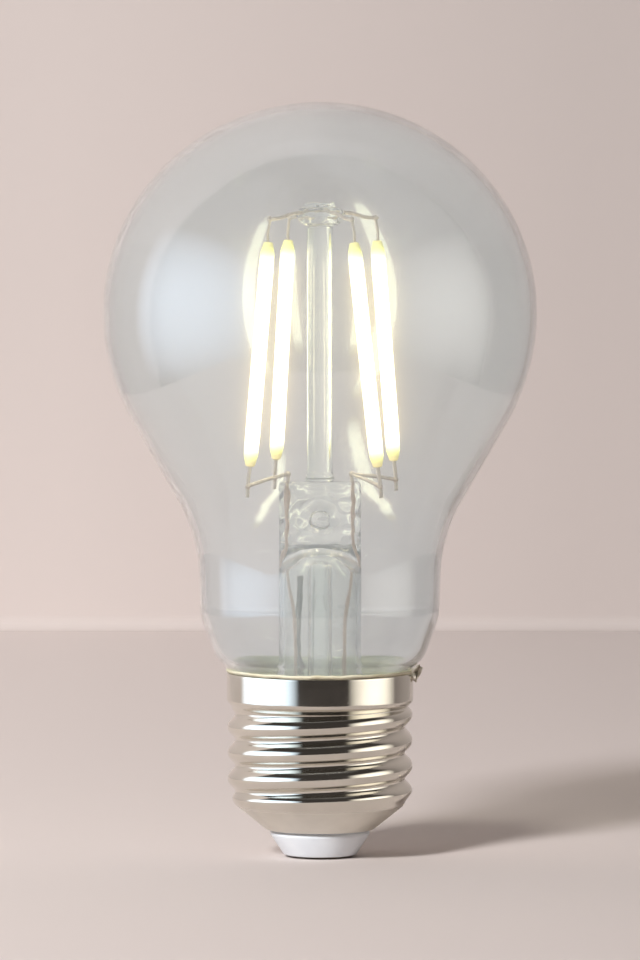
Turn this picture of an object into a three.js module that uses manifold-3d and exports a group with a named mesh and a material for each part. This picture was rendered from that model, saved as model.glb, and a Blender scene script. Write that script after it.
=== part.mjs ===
// Smart filament light bulb: clear A60 glass on an E27 screw cap, with the radio driver inside the cap.
// Millimetres, +Z up through the crown, origin at the middle of the centre contact's flat face.
// +X is to the viewer's right, -Y faces the viewer.
import * as THREE from 'three';
import { mergeVertices } from 'three/addons/utils/BufferGeometryUtils.js';
import Module from 'manifold-3d';

// ---------------------------------------------------------------- driving dimensions

const FIT_GAP = 0.3;

const SHELL = {
  sheet: 0.45,
  mouthRadius: 6.9,
  mouthHeight: 3.9,
  bowlLipRadius: 7.6,
  bowlTopHeight: 7.4,
  bowlRounding: 1.0,
  rootRadius: 11.95,
  collarRadius: 13.1,
  rimHeight: 26.0,
  collarLength: 4.0,
  collarStepSlope: 12 / 11,
};
SHELL.collarBottom = SHELL.rimHeight - SHELL.collarLength;
SHELL.collarFoot = SHELL.collarBottom
  - (SHELL.collarRadius - SHELL.rootRadius) * SHELL.collarStepSlope;

const THREAD = {
  pitch: 3.629,
  crestRadius: 13.0,
  crestBroadness: 0.3,
  crestHeightAtRight: SHELL.rimHeight - 5.9,
  runInStart: SHELL.bowlTopHeight - 0.6,
  runInEnd: SHELL.bowlTopHeight + 2.2,
  runOutStart: SHELL.collarFoot - 0.4,
  runOutEnd: SHELL.collarBottom + 0.2,
};

const CONTACT = {
  faceRadius: 4.0,
  thickness: 0.6,
  nailRadius: 0.8,
  nailTop: 6.0,
};

const INSULATOR = {
  footHeight: 0.3,
  footWall: 0.8,
  shoulderRadius: 7.4,
  flangeRadius: 8.6,
  flangeRise: 0.9,
  flangeThickness: 0.6,
};

const CEMENT = { thickness: 0.45, beadOverhang: 0.1, depth: 3.6 };
CEMENT.beadRadius = SHELL.collarRadius + CEMENT.beadOverhang;

const GLASS = {
  wall: 0.9,
  bodyRadius: 30.4,
  bodyCentre: 76.5,
  crownRise: 29.5,
  coneAngle: THREE.MathUtils.degToRad(30),
  neckTopRadius: 17.15,
  neckBottomRadius: 16.75,
  neckBottom: SHELL.rimHeight + 8.0,
  shoulderRadius: SHELL.collarRadius + 1.65,
  shoulderHeight: SHELL.rimHeight + 2.2,
  tailRadius: SHELL.collarRadius - SHELL.sheet - CEMENT.thickness - 2 * FIT_GAP,
  tailTaper: 0.2,
  tailTop: SHELL.rimHeight + 0.3,
  tailBottom: SHELL.rimHeight - 4.4,
};

const FILAMENT = {
  radius: 1.0,
  topRing: 9.0,
  footRing: 12.3,
  drop: 31.0,
  topHeight: GLASS.bodyCentre + 10.0,
};
FILAMENT.footHeight = FILAMENT.topHeight - FILAMENT.drop;

// Each filament is set by hand, so its two ends sit at slightly different angles about the axis.
const FILAMENT_SPOTS = [
  { name: 'front_left', side: 'left', topAngle: 217, footAngle: 218 },
  { name: 'back_left', side: 'left', topAngle: 120, footAngle: 120.5 },
  { name: 'front_right', side: 'right', topAngle: 301.5, footAngle: 310.5 },
  { name: 'back_right', side: 'right', topAngle: 27, footAngle: 31.5 },
];

const TERMINAL = { width: 0.6, thickness: 0.25, upperLength: 2.9, lowerLength: 4.0 };

const EXHAUST = { radius: 1.75, wall: 0.5, tailAboveFlare: 1.5 };

const LEAD_IN = {
  radius: 0.26,
  pressInset: 1.25,
  tubeInset: 1.5,
  belowFilamentFoot: 2.7,
  abovePress: 1.0,
  straightBelowPress: 12.0,
  bendBelowTube: 1.5,
};

const STEM = {
  tubeRadius: 5.8,
  wall: 0.8,
  flareBottom: GLASS.tailBottom + 0.4,
  flareBend: SHELL.rimHeight,
  pressNarrowing: 0.05,
  pressHalfDepth: 1.75,
  pressLength: 8.5,
  pressBlend: 4.0,
  pressTop: FILAMENT.footHeight - 2.5,
  roofRise: 1.2,
  roofWidthShare: 0.45,
  roofDepthShare: 0.3,
  pressRounding: 0.4,
  pressSquareness: 0.7,
  dimpleRadius: 2.6,
  dimpleDepth: 0.45,
  dimpleBelowTop: 5.3,
};
STEM.pressHalfWidth = STEM.tubeRadius - STEM.pressNarrowing;
STEM.pressBottom = STEM.pressTop - STEM.pressLength;
STEM.tubeTop = STEM.pressBottom - STEM.pressBlend;

const ROD = { radius: 1.8 };

const BUTTON = { radius: 3.4, footShare: 0.85, topShare: 0.8, bottom: FILAMENT.topHeight + 2.3, height: 3.2 };

// The tie wire's arms cross just past the axis, and each bends up or down near its filament.
const TIE_WIRE = { radius: 0.25, height: BUTTON.bottom + 1.7, pastAxis: 0.06, middle: 0.45, bend: 0.9 };

const LINER = {
  radius: SHELL.rootRadius - SHELL.sheet - 0.4,
  wall: 0.4,
  bottom: SHELL.bowlTopHeight + 0.8,
  top: GLASS.tailBottom - 2.6,
};

const BOARD = {
  width: 17,
  thickness: 1.0,
  bottom: CONTACT.nailTop + 1.2,
  top: LINER.top - 0.6,
};

const RADIO = {
  boardWidth: 8.0,
  boardThickness: 0.8,
  boardBottom: BOARD.bottom + 1.2,
  boardTop: BOARD.top - 0.8,
  centreX: 2.5,
  headerWidth: 4.8,
  headerDepth: 2.4,
  headerHeight: 2.0,
  headerInset: 0.4,
  shieldSize: 6.0,
  shieldDepth: 1.6,
};

const COMPONENT_FOOT = BOARD.bottom + 1.6;
const CAPACITOR = { radius: 3.0, length: 9.0, x: -4.5 };
const INDUCTOR = { radius: 2.4, height: 6.4, waist: 1.7, flange: 0.9, x: 3.2 };
const RESISTOR = { radius: 1.1, length: 6.2, x: 7.3 };
const RECTIFIER = { width: 4.6, depth: 1.8, height: 3.8, x: -5.0, bottom: COMPONENT_FOOT };
const DRIVER_CHIP = { width: 4.9, depth: 1.5, height: 3.9, x: -5.0, bottom: COMPONENT_FOOT + 5.0 };

const NEUTRAL_WIRE = {
  radius: 0.2,
  angle: THREE.MathUtils.degToRad(-8),
  sideStep: 1.8,
  bend: 0.9,
  hook: 0.35,
};
const LIVE_WIRE = { radius: 0.25, bendX: 2.6, bendY: -1.5, rise: 0.5, approach: 0.8 };
const ANTENNA = {
  radius: 0.45,
  angle: THREE.MathUtils.degToRad(137),
  topBelowPress: 4.5,
  footX: 0.5,
  aboveBoard: 2.0,
  fromTubeWall: 0.6,
};

const SOLDER = { radial: 0.85, tangential: 1.5, vertical: 1.15, proud: 0.3, height: SHELL.rimHeight - 0.1 };

const ROUND = { fine: 32, medium: 20, coarse: 12, wire: 8 };

// ---------------------------------------------------------------- materials

function material(colour, roughness, metalness, extra = {}) {
  const color = new THREE.Color(...colour);
  return new THREE.MeshStandardMaterial({ color, roughness, metalness, ...extra });
}

const MATERIALS = {
  envelopeGlass: () => material([0.93, 0.95, 0.93], 0.04, 0, { transparent: true, opacity: 0.25 }),
  stemGlass: () => material([0.90, 0.93, 0.92], 0.06, 0, { transparent: true, opacity: 0.4 }),
  phosphor: () => material([1.0, 0.88, 0.55], 0.45, 0, { emissive: new THREE.Color(1.0, 0.85, 0.55) }),
  nickel: () => material([0.78, 0.75, 0.70], 0.22, 1),
  wire: () => material([0.62, 0.60, 0.56], 0.35, 1),
  solder: () => material([0.70, 0.69, 0.67], 0.4, 1),
  contact: () => material([0.80, 0.72, 0.50], 0.35, 1),
  insulator: () => material([0.82, 0.86, 0.92], 0.35, 0),
  cement: () => material([0.86, 0.80, 0.62], 0.85, 0),
  liner: () => material([0.92, 0.92, 0.90], 0.5, 0),
  boardLaminate: () => material([0.10, 0.32, 0.16], 0.55, 0),
  moulding: () => material([0.05, 0.05, 0.06], 0.6, 0),
  capacitorSleeve: () => material([0.08, 0.09, 0.14], 0.4, 0),
  ferrite: () => material([0.16, 0.15, 0.15], 0.7, 0),
  resistorBody: () => material([0.25, 0.55, 0.62], 0.5, 0),
  insulatedWire: () => material([0.06, 0.06, 0.06], 0.5, 0),
};

const group = new THREE.Group();
group.name = 'smart_light_bulb';

function addPiece(name, geometry, materialName) {
  const mesh = new THREE.Mesh(geometry, MATERIALS[materialName]());
  mesh.name = name;
  group.add(mesh);
}

// ---------------------------------------------------------------- solid booleans

const wasm = await Module();
wasm.setup();

function toSolid(geometry) {
  const bare = geometry.clone();
  bare.deleteAttribute('normal');
  bare.deleteAttribute('uv');
  const welded = mergeVertices(bare, 1e-4);
  return new wasm.Manifold(new wasm.Mesh({
    numProp: 3,
    vertProperties: new Float32Array(welded.attributes.position.array),
    triVerts: new Uint32Array(welded.index.array),
  }));
}

function toGeometry(solid) {
  const mesh = solid.getMesh();
  const geometry = new THREE.BufferGeometry();
  geometry.setAttribute('position', new THREE.BufferAttribute(new Float32Array(mesh.vertProperties), 3));
  geometry.setIndex(new THREE.BufferAttribute(new Uint32Array(mesh.triVerts), 1));
  return geometry;
}

function join(...geometries) {
  return toGeometry(geometries.map(toSolid).reduce((whole, piece) => whole.add(piece)));
}

function cut(geometry, ...tools) {
  return toGeometry(tools.map(toSolid).reduce((rest, tool) => rest.subtract(tool), toSolid(geometry)));
}

// ---------------------------------------------------------------- shape helpers

const point2 = (radius, height) => new THREE.Vector2(radius, height);
const point3 = (x, y, z) => new THREE.Vector3(x, y, z);

function polar(radius, angle, height) {
  return point3(radius * Math.cos(angle), radius * Math.sin(angle), height);
}

// Turns corner points, each with an optional rounding radius, into a smooth outline.
function roundedOutline(corners, arcSteps = 4) {
  const outline = [];
  corners.forEach((corner, index) => {
    const before = corners[index - 1];
    const after = corners[index + 1];
    if (!corner.round || !before || !after) {
      outline.push(point2(corner.r, corner.z));
      return;
    }
    const here = point2(corner.r, corner.z);
    const toBefore = point2(before.r, before.z).sub(here).normalize();
    const toAfter = point2(after.r, after.z).sub(here).normalize();
    const halfAngle = Math.acos(THREE.MathUtils.clamp(toBefore.dot(toAfter), -1, 1)) / 2;
    const tangentLength = corner.round / Math.tan(halfAngle);
    const centre = toBefore.clone().add(toAfter).normalize()
      .multiplyScalar(corner.round / Math.sin(halfAngle)).add(here);
    const start = toBefore.multiplyScalar(tangentLength).add(here).sub(centre);
    const end = toAfter.multiplyScalar(tangentLength).add(here).sub(centre);
    const turn = Math.atan2(start.cross(end), start.dot(end));
    for (let step = 0; step <= arcSteps; step += 1) {
      outline.push(start.clone().rotateAround(point2(0, 0), (turn * step) / arcSteps).add(centre));
    }
  });
  return outline;
}

// Moves an outline sideways, to the left of its direction of travel.
function offsetOutline(outline, distance) {
  return outline.map((here, index) => {
    const before = outline[Math.max(index - 1, 0)];
    const after = outline[Math.min(index + 1, outline.length - 1)];
    const along = after.clone().sub(before).normalize();
    return point2(Math.max(here.x - along.y * distance, 0), here.y + along.x * distance);
  });
}

function turned(outline, segments) {
  return new THREE.LatheGeometry(outline, segments).rotateX(Math.PI / 2);
}

function turnedRing(outline, segments) {
  return turned([...outline, outline[0].clone()], segments);
}

// Skins a stack of rings, each a closed loop running anticlockwise seen from above.
function ringSolid(rings, endless) {
  const count = rings[0].length;
  const positions = rings.flat().flatMap((p) => [p.x, p.y, p.z]);
  const faces = [];
  const lastBand = endless ? rings.length : rings.length - 1;
  for (let band = 0; band < lastBand; band += 1) {
    const lower = band * count;
    const upper = ((band + 1) % rings.length) * count;
    for (let j = 0; j < count; j += 1) {
      const next = (j + 1) % count;
      faces.push(lower + j, lower + next, upper + next, lower + j, upper + next, upper + j);
    }
  }
  if (!endless) {
    [[0, true], [rings.length - 1, false]].forEach(([ring, isStart]) => {
      const middle = rings[ring].reduce((sum, p) => sum.add(p), point3(0, 0, 0)).divideScalar(count);
      const hub = positions.length / 3;
      positions.push(middle.x, middle.y, middle.z);
      for (let j = 0; j < count; j += 1) {
        const here = ring * count + j;
        const next = ring * count + ((j + 1) % count);
        faces.push(hub, isStart ? next : here, isStart ? here : next);
      }
    });
  }
  const geometry = new THREE.BufferGeometry();
  geometry.setAttribute('position', new THREE.Float32BufferAttribute(positions, 3));
  geometry.setIndex(faces);
  return geometry;
}

function disc(radius, sides) {
  const shape = new THREE.Shape();
  for (let i = 0; i < sides; i += 1) {
    const angle = (2 * Math.PI * i) / sides;
    const x = radius * Math.cos(angle);
    const y = radius * Math.sin(angle);
    if (i === 0) shape.moveTo(x, y);
    else shape.lineTo(x, y);
  }
  shape.closePath();
  return shape;
}

function wireAlong(points, radius, steps) {
  const path = points.length === 2
    ? new THREE.LineCurve3(points[0], points[1])
    : new THREE.CatmullRomCurve3(points, false, 'centripetal');
  return new THREE.ExtrudeGeometry(disc(radius, ROUND.wire), {
    steps,
    bevelEnabled: false,
    extrudePath: path,
  });
}

function uprightCylinder(radius, bottom, top, sides, x = 0, y = 0) {
  return new THREE.CylinderGeometry(radius, radius, top - bottom, sides)
    .rotateX(Math.PI / 2).translate(x, y, (bottom + top) / 2);
}

function block(width, depth, bottom, top, x, y) {
  return new THREE.BoxGeometry(width, depth, top - bottom).translate(x, y, (bottom + top) / 2);
}

// Stands a geometry that is modelled along +Z, starting at z = 0, on a point and aims it at another.
function aimed(geometry, from, towards) {
  const direction = towards.clone().sub(from).normalize();
  const turn = new THREE.Quaternion().setFromUnitVectors(point3(0, 0, 1), direction);
  return geometry.applyQuaternion(turn).translate(from.x, from.y, from.z);
}

// ---------------------------------------------------------------- screw shell

// Radius of the plain sheet, without the thread, at one height.
function plainShellOutline() {
  return roundedOutline([
    { r: SHELL.mouthRadius, z: SHELL.mouthHeight },
    { r: SHELL.bowlLipRadius, z: SHELL.mouthHeight, round: 0.5 },
    { r: SHELL.rootRadius, z: SHELL.bowlTopHeight, round: SHELL.bowlRounding },
    { r: SHELL.rootRadius, z: SHELL.collarFoot, round: 0.6 },
    { r: SHELL.collarRadius, z: SHELL.collarBottom, round: 0.6 },
    { r: SHELL.collarRadius, z: SHELL.rimHeight },
  ], 3);
}

function threadHeight(angle, height) {
  const turns = (height - THREAD.crestHeightAtRight) / THREAD.pitch - angle / (2 * Math.PI);
  const phase = 2 * Math.PI * turns;
  const wave = (1 + Math.cos(phase - THREAD.crestBroadness * Math.sin(phase))) / 2;
  const runIn = THREE.MathUtils.smoothstep(height, THREAD.runInStart, THREAD.runInEnd);
  const runOut = 1 - THREE.MathUtils.smoothstep(height, THREAD.runOutStart, THREAD.runOutEnd);
  return (THREAD.crestRadius - SHELL.rootRadius) * wave * runIn * runOut;
}

// Adds evenly spaced stations along the threaded height so the crests are well followed.
function threadedStations(outline, rowsPerTurn) {
  const first = outline.findIndex((p) => p.y >= THREAD.runInStart);
  const last = outline.findIndex((p) => p.y >= THREAD.runOutStart);
  const start = outline[first];
  const end = outline[last];
  const rows = Math.round(((end.y - start.y) / THREAD.pitch) * rowsPerTurn);
  const stations = outline.slice(0, first);
  for (let row = 0; row < rows; row += 1) {
    const height = THREE.MathUtils.lerp(start.y, end.y, row / rows);
    stations.push(point2(outlineRadius(outline, height), height));
  }
  return stations.concat(outline.slice(last));
}

function outlineRadius(outline, height) {
  const upper = Math.max(outline.findIndex((p) => p.y > height), 1);
  const a = outline[upper - 1];
  const b = outline[upper];
  return THREE.MathUtils.lerp(a.x, b.x, (height - a.y) / (b.y - a.y));
}

function shellRing(station, inset) {
  return Array.from({ length: ROUND.fine }, (_, j) => {
    const angle = (2 * Math.PI * j) / ROUND.fine;
    const threaded = Math.min(station.x, SHELL.rootRadius) + threadHeight(angle, station.y);
    return polar(Math.max(station.x, threaded) - inset, angle, station.y);
  });
}

function screwShell() {
  const outline = plainShellOutline();
  const outerRings = threadedStations(outline, 7).map((station) => shellRing(station, 0));
  const innerOutline = offsetOutline(outline, SHELL.sheet);
  innerOutline[0] = point2(SHELL.mouthRadius, SHELL.mouthHeight + SHELL.sheet);
  innerOutline[innerOutline.length - 1].y = SHELL.rimHeight;
  const innerRings = threadedStations(innerOutline, 4).map((station) => {
    return shellRing(point2(station.x + SHELL.sheet, station.y), SHELL.sheet);
  });
  return ringSolid([...outerRings, ...innerRings.reverse()], true);
}

addPiece('screw_shell', screwShell(), 'nickel');

// ---------------------------------------------------------------- cap bottom

function centreContact() {
  return turned(roundedOutline([
    { r: 0, z: 0 },
    { r: CONTACT.faceRadius, z: 0, round: 0.25 },
    { r: CONTACT.faceRadius, z: CONTACT.thickness, round: 0.25 },
    { r: CONTACT.nailRadius, z: CONTACT.thickness },
    { r: CONTACT.nailRadius, z: CONTACT.nailTop },
    { r: 0, z: CONTACT.nailTop },
  ], 2), ROUND.medium);
}

function baseInsulator() {
  const bore = CONTACT.nailRadius + FIT_GAP;
  const seatTop = CONTACT.thickness + FIT_GAP;
  const seatRadius = CONTACT.faceRadius + FIT_GAP;
  const throatRadius = SHELL.mouthRadius - FIT_GAP;
  const shoulderTop = SHELL.mouthHeight - FIT_GAP;
  const throatTop = SHELL.mouthHeight + SHELL.sheet + FIT_GAP;
  const flangeBottom = throatTop + INSULATOR.flangeRise;
  const flangeTop = flangeBottom + INSULATOR.flangeThickness;
  return turnedRing(roundedOutline([
    { r: bore, z: seatTop },
    { r: seatRadius, z: seatTop },
    { r: seatRadius, z: INSULATOR.footHeight },
    { r: seatRadius + INSULATOR.footWall, z: INSULATOR.footHeight, round: 0.4 },
    { r: INSULATOR.shoulderRadius, z: shoulderTop, round: 0.4 },
    { r: throatRadius, z: shoulderTop },
    { r: throatRadius, z: throatTop },
    { r: INSULATOR.flangeRadius, z: flangeBottom },
    { r: INSULATOR.flangeRadius, z: flangeTop },
    { r: bore, z: flangeTop },
  ], 2), ROUND.fine);
}

addPiece('centre_contact', centreContact(), 'contact');
addPiece('base_insulator', baseInsulator(), 'insulator');

// ---------------------------------------------------------------- glass envelope

function envelopeOutline() {
  const tangentRadius = GLASS.bodyRadius * Math.cos(GLASS.coneAngle);
  const tangentHeight = GLASS.bodyCentre - GLASS.bodyRadius * Math.sin(GLASS.coneAngle);
  const neckTop = tangentHeight - (tangentRadius - GLASS.neckTopRadius) / Math.tan(GLASS.coneAngle);
  const neck = roundedOutline([
    { r: GLASS.tailRadius - GLASS.tailTaper, z: GLASS.tailBottom },
    { r: GLASS.tailRadius, z: GLASS.tailTop, round: 0.8 },
    { r: GLASS.shoulderRadius, z: GLASS.shoulderHeight, round: 5.0 },
    { r: GLASS.neckBottomRadius, z: GLASS.neckBottom, round: 8.0 },
    { r: GLASS.neckTopRadius, z: neckTop, round: 22 },
    { r: tangentRadius, z: tangentHeight },
  ], 3);
  const bulge = [];
  const bulgeSteps = 2;
  for (let step = 1; step <= bulgeSteps; step += 1) {
    const angle = -GLASS.coneAngle * (1 - step / bulgeSteps);
    const height = GLASS.bodyCentre + GLASS.bodyRadius * Math.sin(angle);
    bulge.push(point2(GLASS.bodyRadius * Math.cos(angle), height));
  }
  const crown = [];
  const crownSteps = 9;
  for (let step = 1; step <= crownSteps; step += 1) {
    const angle = (Math.PI / 2) * (step / crownSteps);
    const height = GLASS.bodyCentre + GLASS.crownRise * Math.sin(angle);
    crown.push(point2(GLASS.bodyRadius * Math.cos(angle), height));
  }
  crown[crownSteps - 1].x = 0;
  return [...neck, ...bulge, ...crown];
}

function envelope() {
  const outer = envelopeOutline();
  const inner = offsetOutline(outer, GLASS.wall);
  inner[0].y = GLASS.tailBottom;
  inner[inner.length - 1].set(0, GLASS.bodyCentre + GLASS.crownRise - GLASS.wall);
  return turned([...inner.reverse(), ...outer], ROUND.fine);
}

addPiece('glass_envelope', envelope(), 'envelopeGlass');

// ---------------------------------------------------------------- neutral wire and its solder joint

function neutralWirePath() {
  const inCement = GLASS.tailRadius + FIT_GAP + CEMENT.thickness / 2;
  const rimMiddle = SHELL.collarRadius - SHELL.sheet / 2;
  const aboveRim = SHELL.rimHeight + NEUTRAL_WIRE.radius;
  const stops = [
    [BOARD.width / 2 - 2 * NEUTRAL_WIRE.radius, BOARD.top + 2 * FIT_GAP],
    [inCement - NEUTRAL_WIRE.sideStep, GLASS.tailBottom - NEUTRAL_WIRE.bend],
    [inCement, GLASS.tailBottom + NEUTRAL_WIRE.bend],
    [inCement, SHELL.rimHeight - NEUTRAL_WIRE.bend],
    [rimMiddle - NEUTRAL_WIRE.hook, aboveRim + NEUTRAL_WIRE.radius],
    [rimMiddle + NEUTRAL_WIRE.hook, aboveRim + NEUTRAL_WIRE.hook],
  ];
  return stops.map(([radius, height]) => polar(radius, NEUTRAL_WIRE.angle, height));
}

function sideSolder() {
  const centreRadius = SHELL.collarRadius + FIT_GAP + SOLDER.proud;
  const blob = new THREE.SphereGeometry(1, ROUND.medium, 10)
    .scale(SOLDER.radial, SOLDER.tangential, SOLDER.vertical)
    .translate(centreRadius, 0, SOLDER.height)
    .rotateZ(NEUTRAL_WIRE.angle);
  const collarClearance = uprightCylinder(
    CEMENT.beadRadius + FIT_GAP, SHELL.collarFoot, GLASS.neckBottom, ROUND.fine * 2);
  return cut(blob, collarClearance);
}

addPiece('neutral_wire', wireAlong(neutralWirePath(), NEUTRAL_WIRE.radius, 18), 'wire');
addPiece('side_solder', sideSolder(), 'solder');

// ---------------------------------------------------------------- cement ring

function capCement() {
  const innerRadius = GLASS.tailRadius + FIT_GAP;
  const outerRadius = SHELL.collarRadius - SHELL.sheet - FIT_GAP;
  const overRim = SHELL.rimHeight + FIT_GAP;
  const slope = (GLASS.shoulderHeight - GLASS.tailTop) / (GLASS.shoulderRadius - GLASS.tailRadius);
  const underGlass = (radius) => GLASS.tailTop + (radius - GLASS.tailRadius) * slope - FIT_GAP * 1.25;
  const ring = turnedRing([
    point2(innerRadius, SHELL.rimHeight - CEMENT.depth),
    point2(outerRadius, SHELL.rimHeight - CEMENT.depth),
    point2(outerRadius, overRim),
    point2(CEMENT.beadRadius, overRim),
    point2(CEMENT.beadRadius, underGlass(CEMENT.beadRadius)),
    point2(innerRadius, underGlass(innerRadius)),
  ], ROUND.fine);
  return cut(ring, wireAlong(neutralWirePath(), NEUTRAL_WIRE.radius + FIT_GAP, 18));
}

addPiece('cap_cement', capCement(), 'cement');

// ---------------------------------------------------------------- glass stem

function stemRing(halfWidth, halfDepth, height, squareness = 1) {
  return Array.from({ length: ROUND.medium }, (_, j) => {
    const angle = (2 * Math.PI * j) / ROUND.medium;
    const c = Math.cos(angle);
    const s = Math.sin(angle);
    return point3(
      halfWidth * Math.sign(c) * Math.abs(c) ** squareness,
      halfDepth * Math.sign(s) * Math.abs(s) ** squareness,
      height,
    );
  });
}

function stemGlass() {
  const pressOffset = STEM.pressHalfWidth - LEAD_IN.pressInset;
  const flareEdge = GLASS.tailRadius - GLASS.tailTaper - GLASS.wall - FIT_GAP;
  const outerTube = roundedOutline([
    { r: flareEdge, z: STEM.flareBottom },
    { r: STEM.tubeRadius, z: STEM.flareBend, round: 3.0 },
    { r: STEM.tubeRadius, z: STEM.tubeTop },
  ], 4);
  const innerTube = offsetOutline(outerTube, STEM.wall);
  innerTube[0].y = STEM.flareBottom;
  const round = (p) => stemRing(p.x, p.x, p.y);
  const press = (height, blend) => stemRing(
    THREE.MathUtils.lerp(STEM.tubeRadius, STEM.pressHalfWidth, blend),
    THREE.MathUtils.lerp(STEM.tubeRadius, STEM.pressHalfDepth, blend),
    height,
    THREE.MathUtils.lerp(1, STEM.pressSquareness, blend),
  );
  const middle = (STEM.tubeTop + STEM.pressBottom) / 2;
  const rings = [
    stemRing(
      STEM.tubeRadius * STEM.roofWidthShare,
      STEM.tubeRadius * STEM.roofDepthShare,
      STEM.tubeTop + STEM.roofRise,
    ),
    ...innerTube.reverse().map(round),
    ...outerTube.map(round),
    press(middle, 0.55),
    press(STEM.pressBottom, 1),
    press(STEM.pressTop - STEM.pressRounding, 1),
    stemRing(
      STEM.pressHalfWidth - STEM.pressRounding,
      STEM.pressHalfDepth - STEM.pressRounding,
      STEM.pressTop,
      STEM.pressSquareness,
    ),
  ];
  const leadBores = [-1, 1].map((side) => uprightCylinder(
    LEAD_IN.radius + FIT_GAP, STEM.tubeTop - 2, STEM.pressTop + 2, ROUND.wire, side * pressOffset));
  const dimples = [-1, 1].map((side) => {
    const ball = (STEM.dimpleRadius ** 2 + STEM.dimpleDepth ** 2) / (2 * STEM.dimpleDepth);
    const face = STEM.pressHalfDepth - STEM.dimpleDepth;
    const height = STEM.pressTop - STEM.dimpleBelowTop;
    return new THREE.SphereGeometry(ball, 24, 16).translate(0, side * (face + ball), height);
  });
  return cut(ringSolid(rings, false), ...leadBores, ...dimples);
}

function exhaustTube() {
  const bottom = STEM.flareBottom + EXHAUST.tailAboveFlare;
  const top = STEM.tubeTop + STEM.roofRise - FIT_GAP;
  return turnedRing([
    point2(EXHAUST.radius - EXHAUST.wall, bottom),
    point2(EXHAUST.radius, bottom),
    point2(EXHAUST.radius, top),
    point2(EXHAUST.radius - EXHAUST.wall, top),
  ], ROUND.coarse);
}

function stemRod() {
  return uprightCylinder(ROD.radius, STEM.pressTop + FIT_GAP, BUTTON.bottom - FIT_GAP, ROUND.coarse);
}

addPiece('stem_glass', stemGlass(), 'stemGlass');
addPiece('exhaust_tube', exhaustTube(), 'stemGlass');
addPiece('stem_rod', stemRod(), 'stemGlass');

// ---------------------------------------------------------------- filaments and their terminals

const filaments = FILAMENT_SPOTS.map((spot) => {
  const top = polar(FILAMENT.topRing, THREE.MathUtils.degToRad(spot.topAngle), FILAMENT.topHeight);
  const foot = polar(FILAMENT.footRing, THREE.MathUtils.degToRad(spot.footAngle), FILAMENT.footHeight);
  const upward = top.clone().sub(foot).normalize();
  return { ...spot, top, foot, upward };
});

function alongFilament(filament, start, distance) {
  return start.clone().addScaledVector(filament.upward, distance);
}

function filamentBody(filament) {
  const length = filament.top.distanceTo(filament.foot);
  const capsule = turned(roundedOutline([
    { r: 0, z: 0 },
    { r: FILAMENT.radius, z: 0, round: 0.35 },
    { r: FILAMENT.radius, z: length, round: 0.35 },
    { r: 0, z: length },
  ], 2), ROUND.coarse);
  return aimed(capsule, filament.foot, filament.top);
}

function terminal(from, towards, length) {
  return aimed(block(TERMINAL.width, TERMINAL.thickness, 0, length, 0, 0), from, towards);
}

for (const filament of filaments) {
  const upperStart = alongFilament(filament, filament.top, FIT_GAP);
  const lowerStart = alongFilament(filament, filament.foot, -FIT_GAP);
  const above = alongFilament(filament, filament.top, FILAMENT.drop);
  const below = alongFilament(filament, filament.foot, -FILAMENT.drop);
  addPiece(`filament_${filament.name}`, filamentBody(filament), 'phosphor');
  addPiece(`upper_terminal_${filament.name}`, terminal(upperStart, above, TERMINAL.upperLength), 'wire');
  addPiece(`lower_terminal_${filament.name}`, terminal(lowerStart, below, TERMINAL.lowerLength), 'wire');
}

// ---------------------------------------------------------------- upper tie wire in its glass button

function tieWire(radius) {
  const arms = filaments.map((filament) => {
    const hook = alongFilament(filament, filament.top, TERMINAL.upperLength + 2 * FIT_GAP);
    const level = (share) => point3(hook.x * share, hook.y * share, TIE_WIRE.height);
    const stops = [level(-TIE_WIRE.pastAxis), level(TIE_WIRE.middle), level(TIE_WIRE.bend), hook];
    return wireAlong(stops, radius, 6);
  });
  return join(...arms);
}

function glassButton() {
  const top = BUTTON.bottom + BUTTON.height;
  const lump = turned(roundedOutline([
    { r: 0, z: BUTTON.bottom },
    { r: BUTTON.radius * BUTTON.footShare, z: BUTTON.bottom, round: 0.7 },
    { r: BUTTON.radius, z: (BUTTON.bottom + top) / 2, round: 1.2 },
    { r: BUTTON.radius * BUTTON.topShare, z: top, round: 0.9 },
    { r: 0, z: top },
  ], 2), ROUND.medium);
  return cut(lump, tieWire(TIE_WIRE.radius + FIT_GAP));
}

addPiece('upper_tie_wire', tieWire(TIE_WIRE.radius), 'wire');
addPiece('glass_button', glassButton(), 'stemGlass');

// ---------------------------------------------------------------- lead-in wires

// Each lead-in runs from the driver board up through the press and forks to the two filaments on its side.
function leadInWire(side) {
  const sign = side === 'left' ? -1 : 1;
  const x = sign * (STEM.pressHalfWidth - LEAD_IN.pressInset);
  const tubeX = sign * (STEM.tubeRadius - STEM.wall - LEAD_IN.tubeInset);
  const knuckle = point3(x, 0, STEM.pressTop + LEAD_IN.abovePress);
  const riser = wireAlong([
    point3(tubeX, 0, BOARD.top + FIT_GAP),
    point3(tubeX, 0, STEM.pressBottom - LEAD_IN.straightBelowPress),
    point3(x, 0, STEM.tubeTop - LEAD_IN.bendBelowTube),
    point3(x, 0, STEM.pressBottom),
    knuckle,
  ], LEAD_IN.radius, 14);
  const arms = filaments.filter((filament) => filament.side === side).map((filament) => {
    const joint = alongFilament(filament, filament.foot, -LEAD_IN.belowFilamentFoot);
    const inward = knuckle.clone().sub(joint).normalize();
    const tip = joint.clone().addScaledVector(inward, TERMINAL.width / 2 + FIT_GAP);
    const root = point3(x, 0, knuckle.z - LEAD_IN.radius);
    return wireAlong([root, tip], LEAD_IN.radius, 4);
  });
  return join(riser, ...arms);
}

addPiece('lead_in_wire_left', leadInWire('left'), 'wire');
addPiece('lead_in_wire_right', leadInWire('right'), 'wire');

// ---------------------------------------------------------------- driver inside the cap

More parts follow.
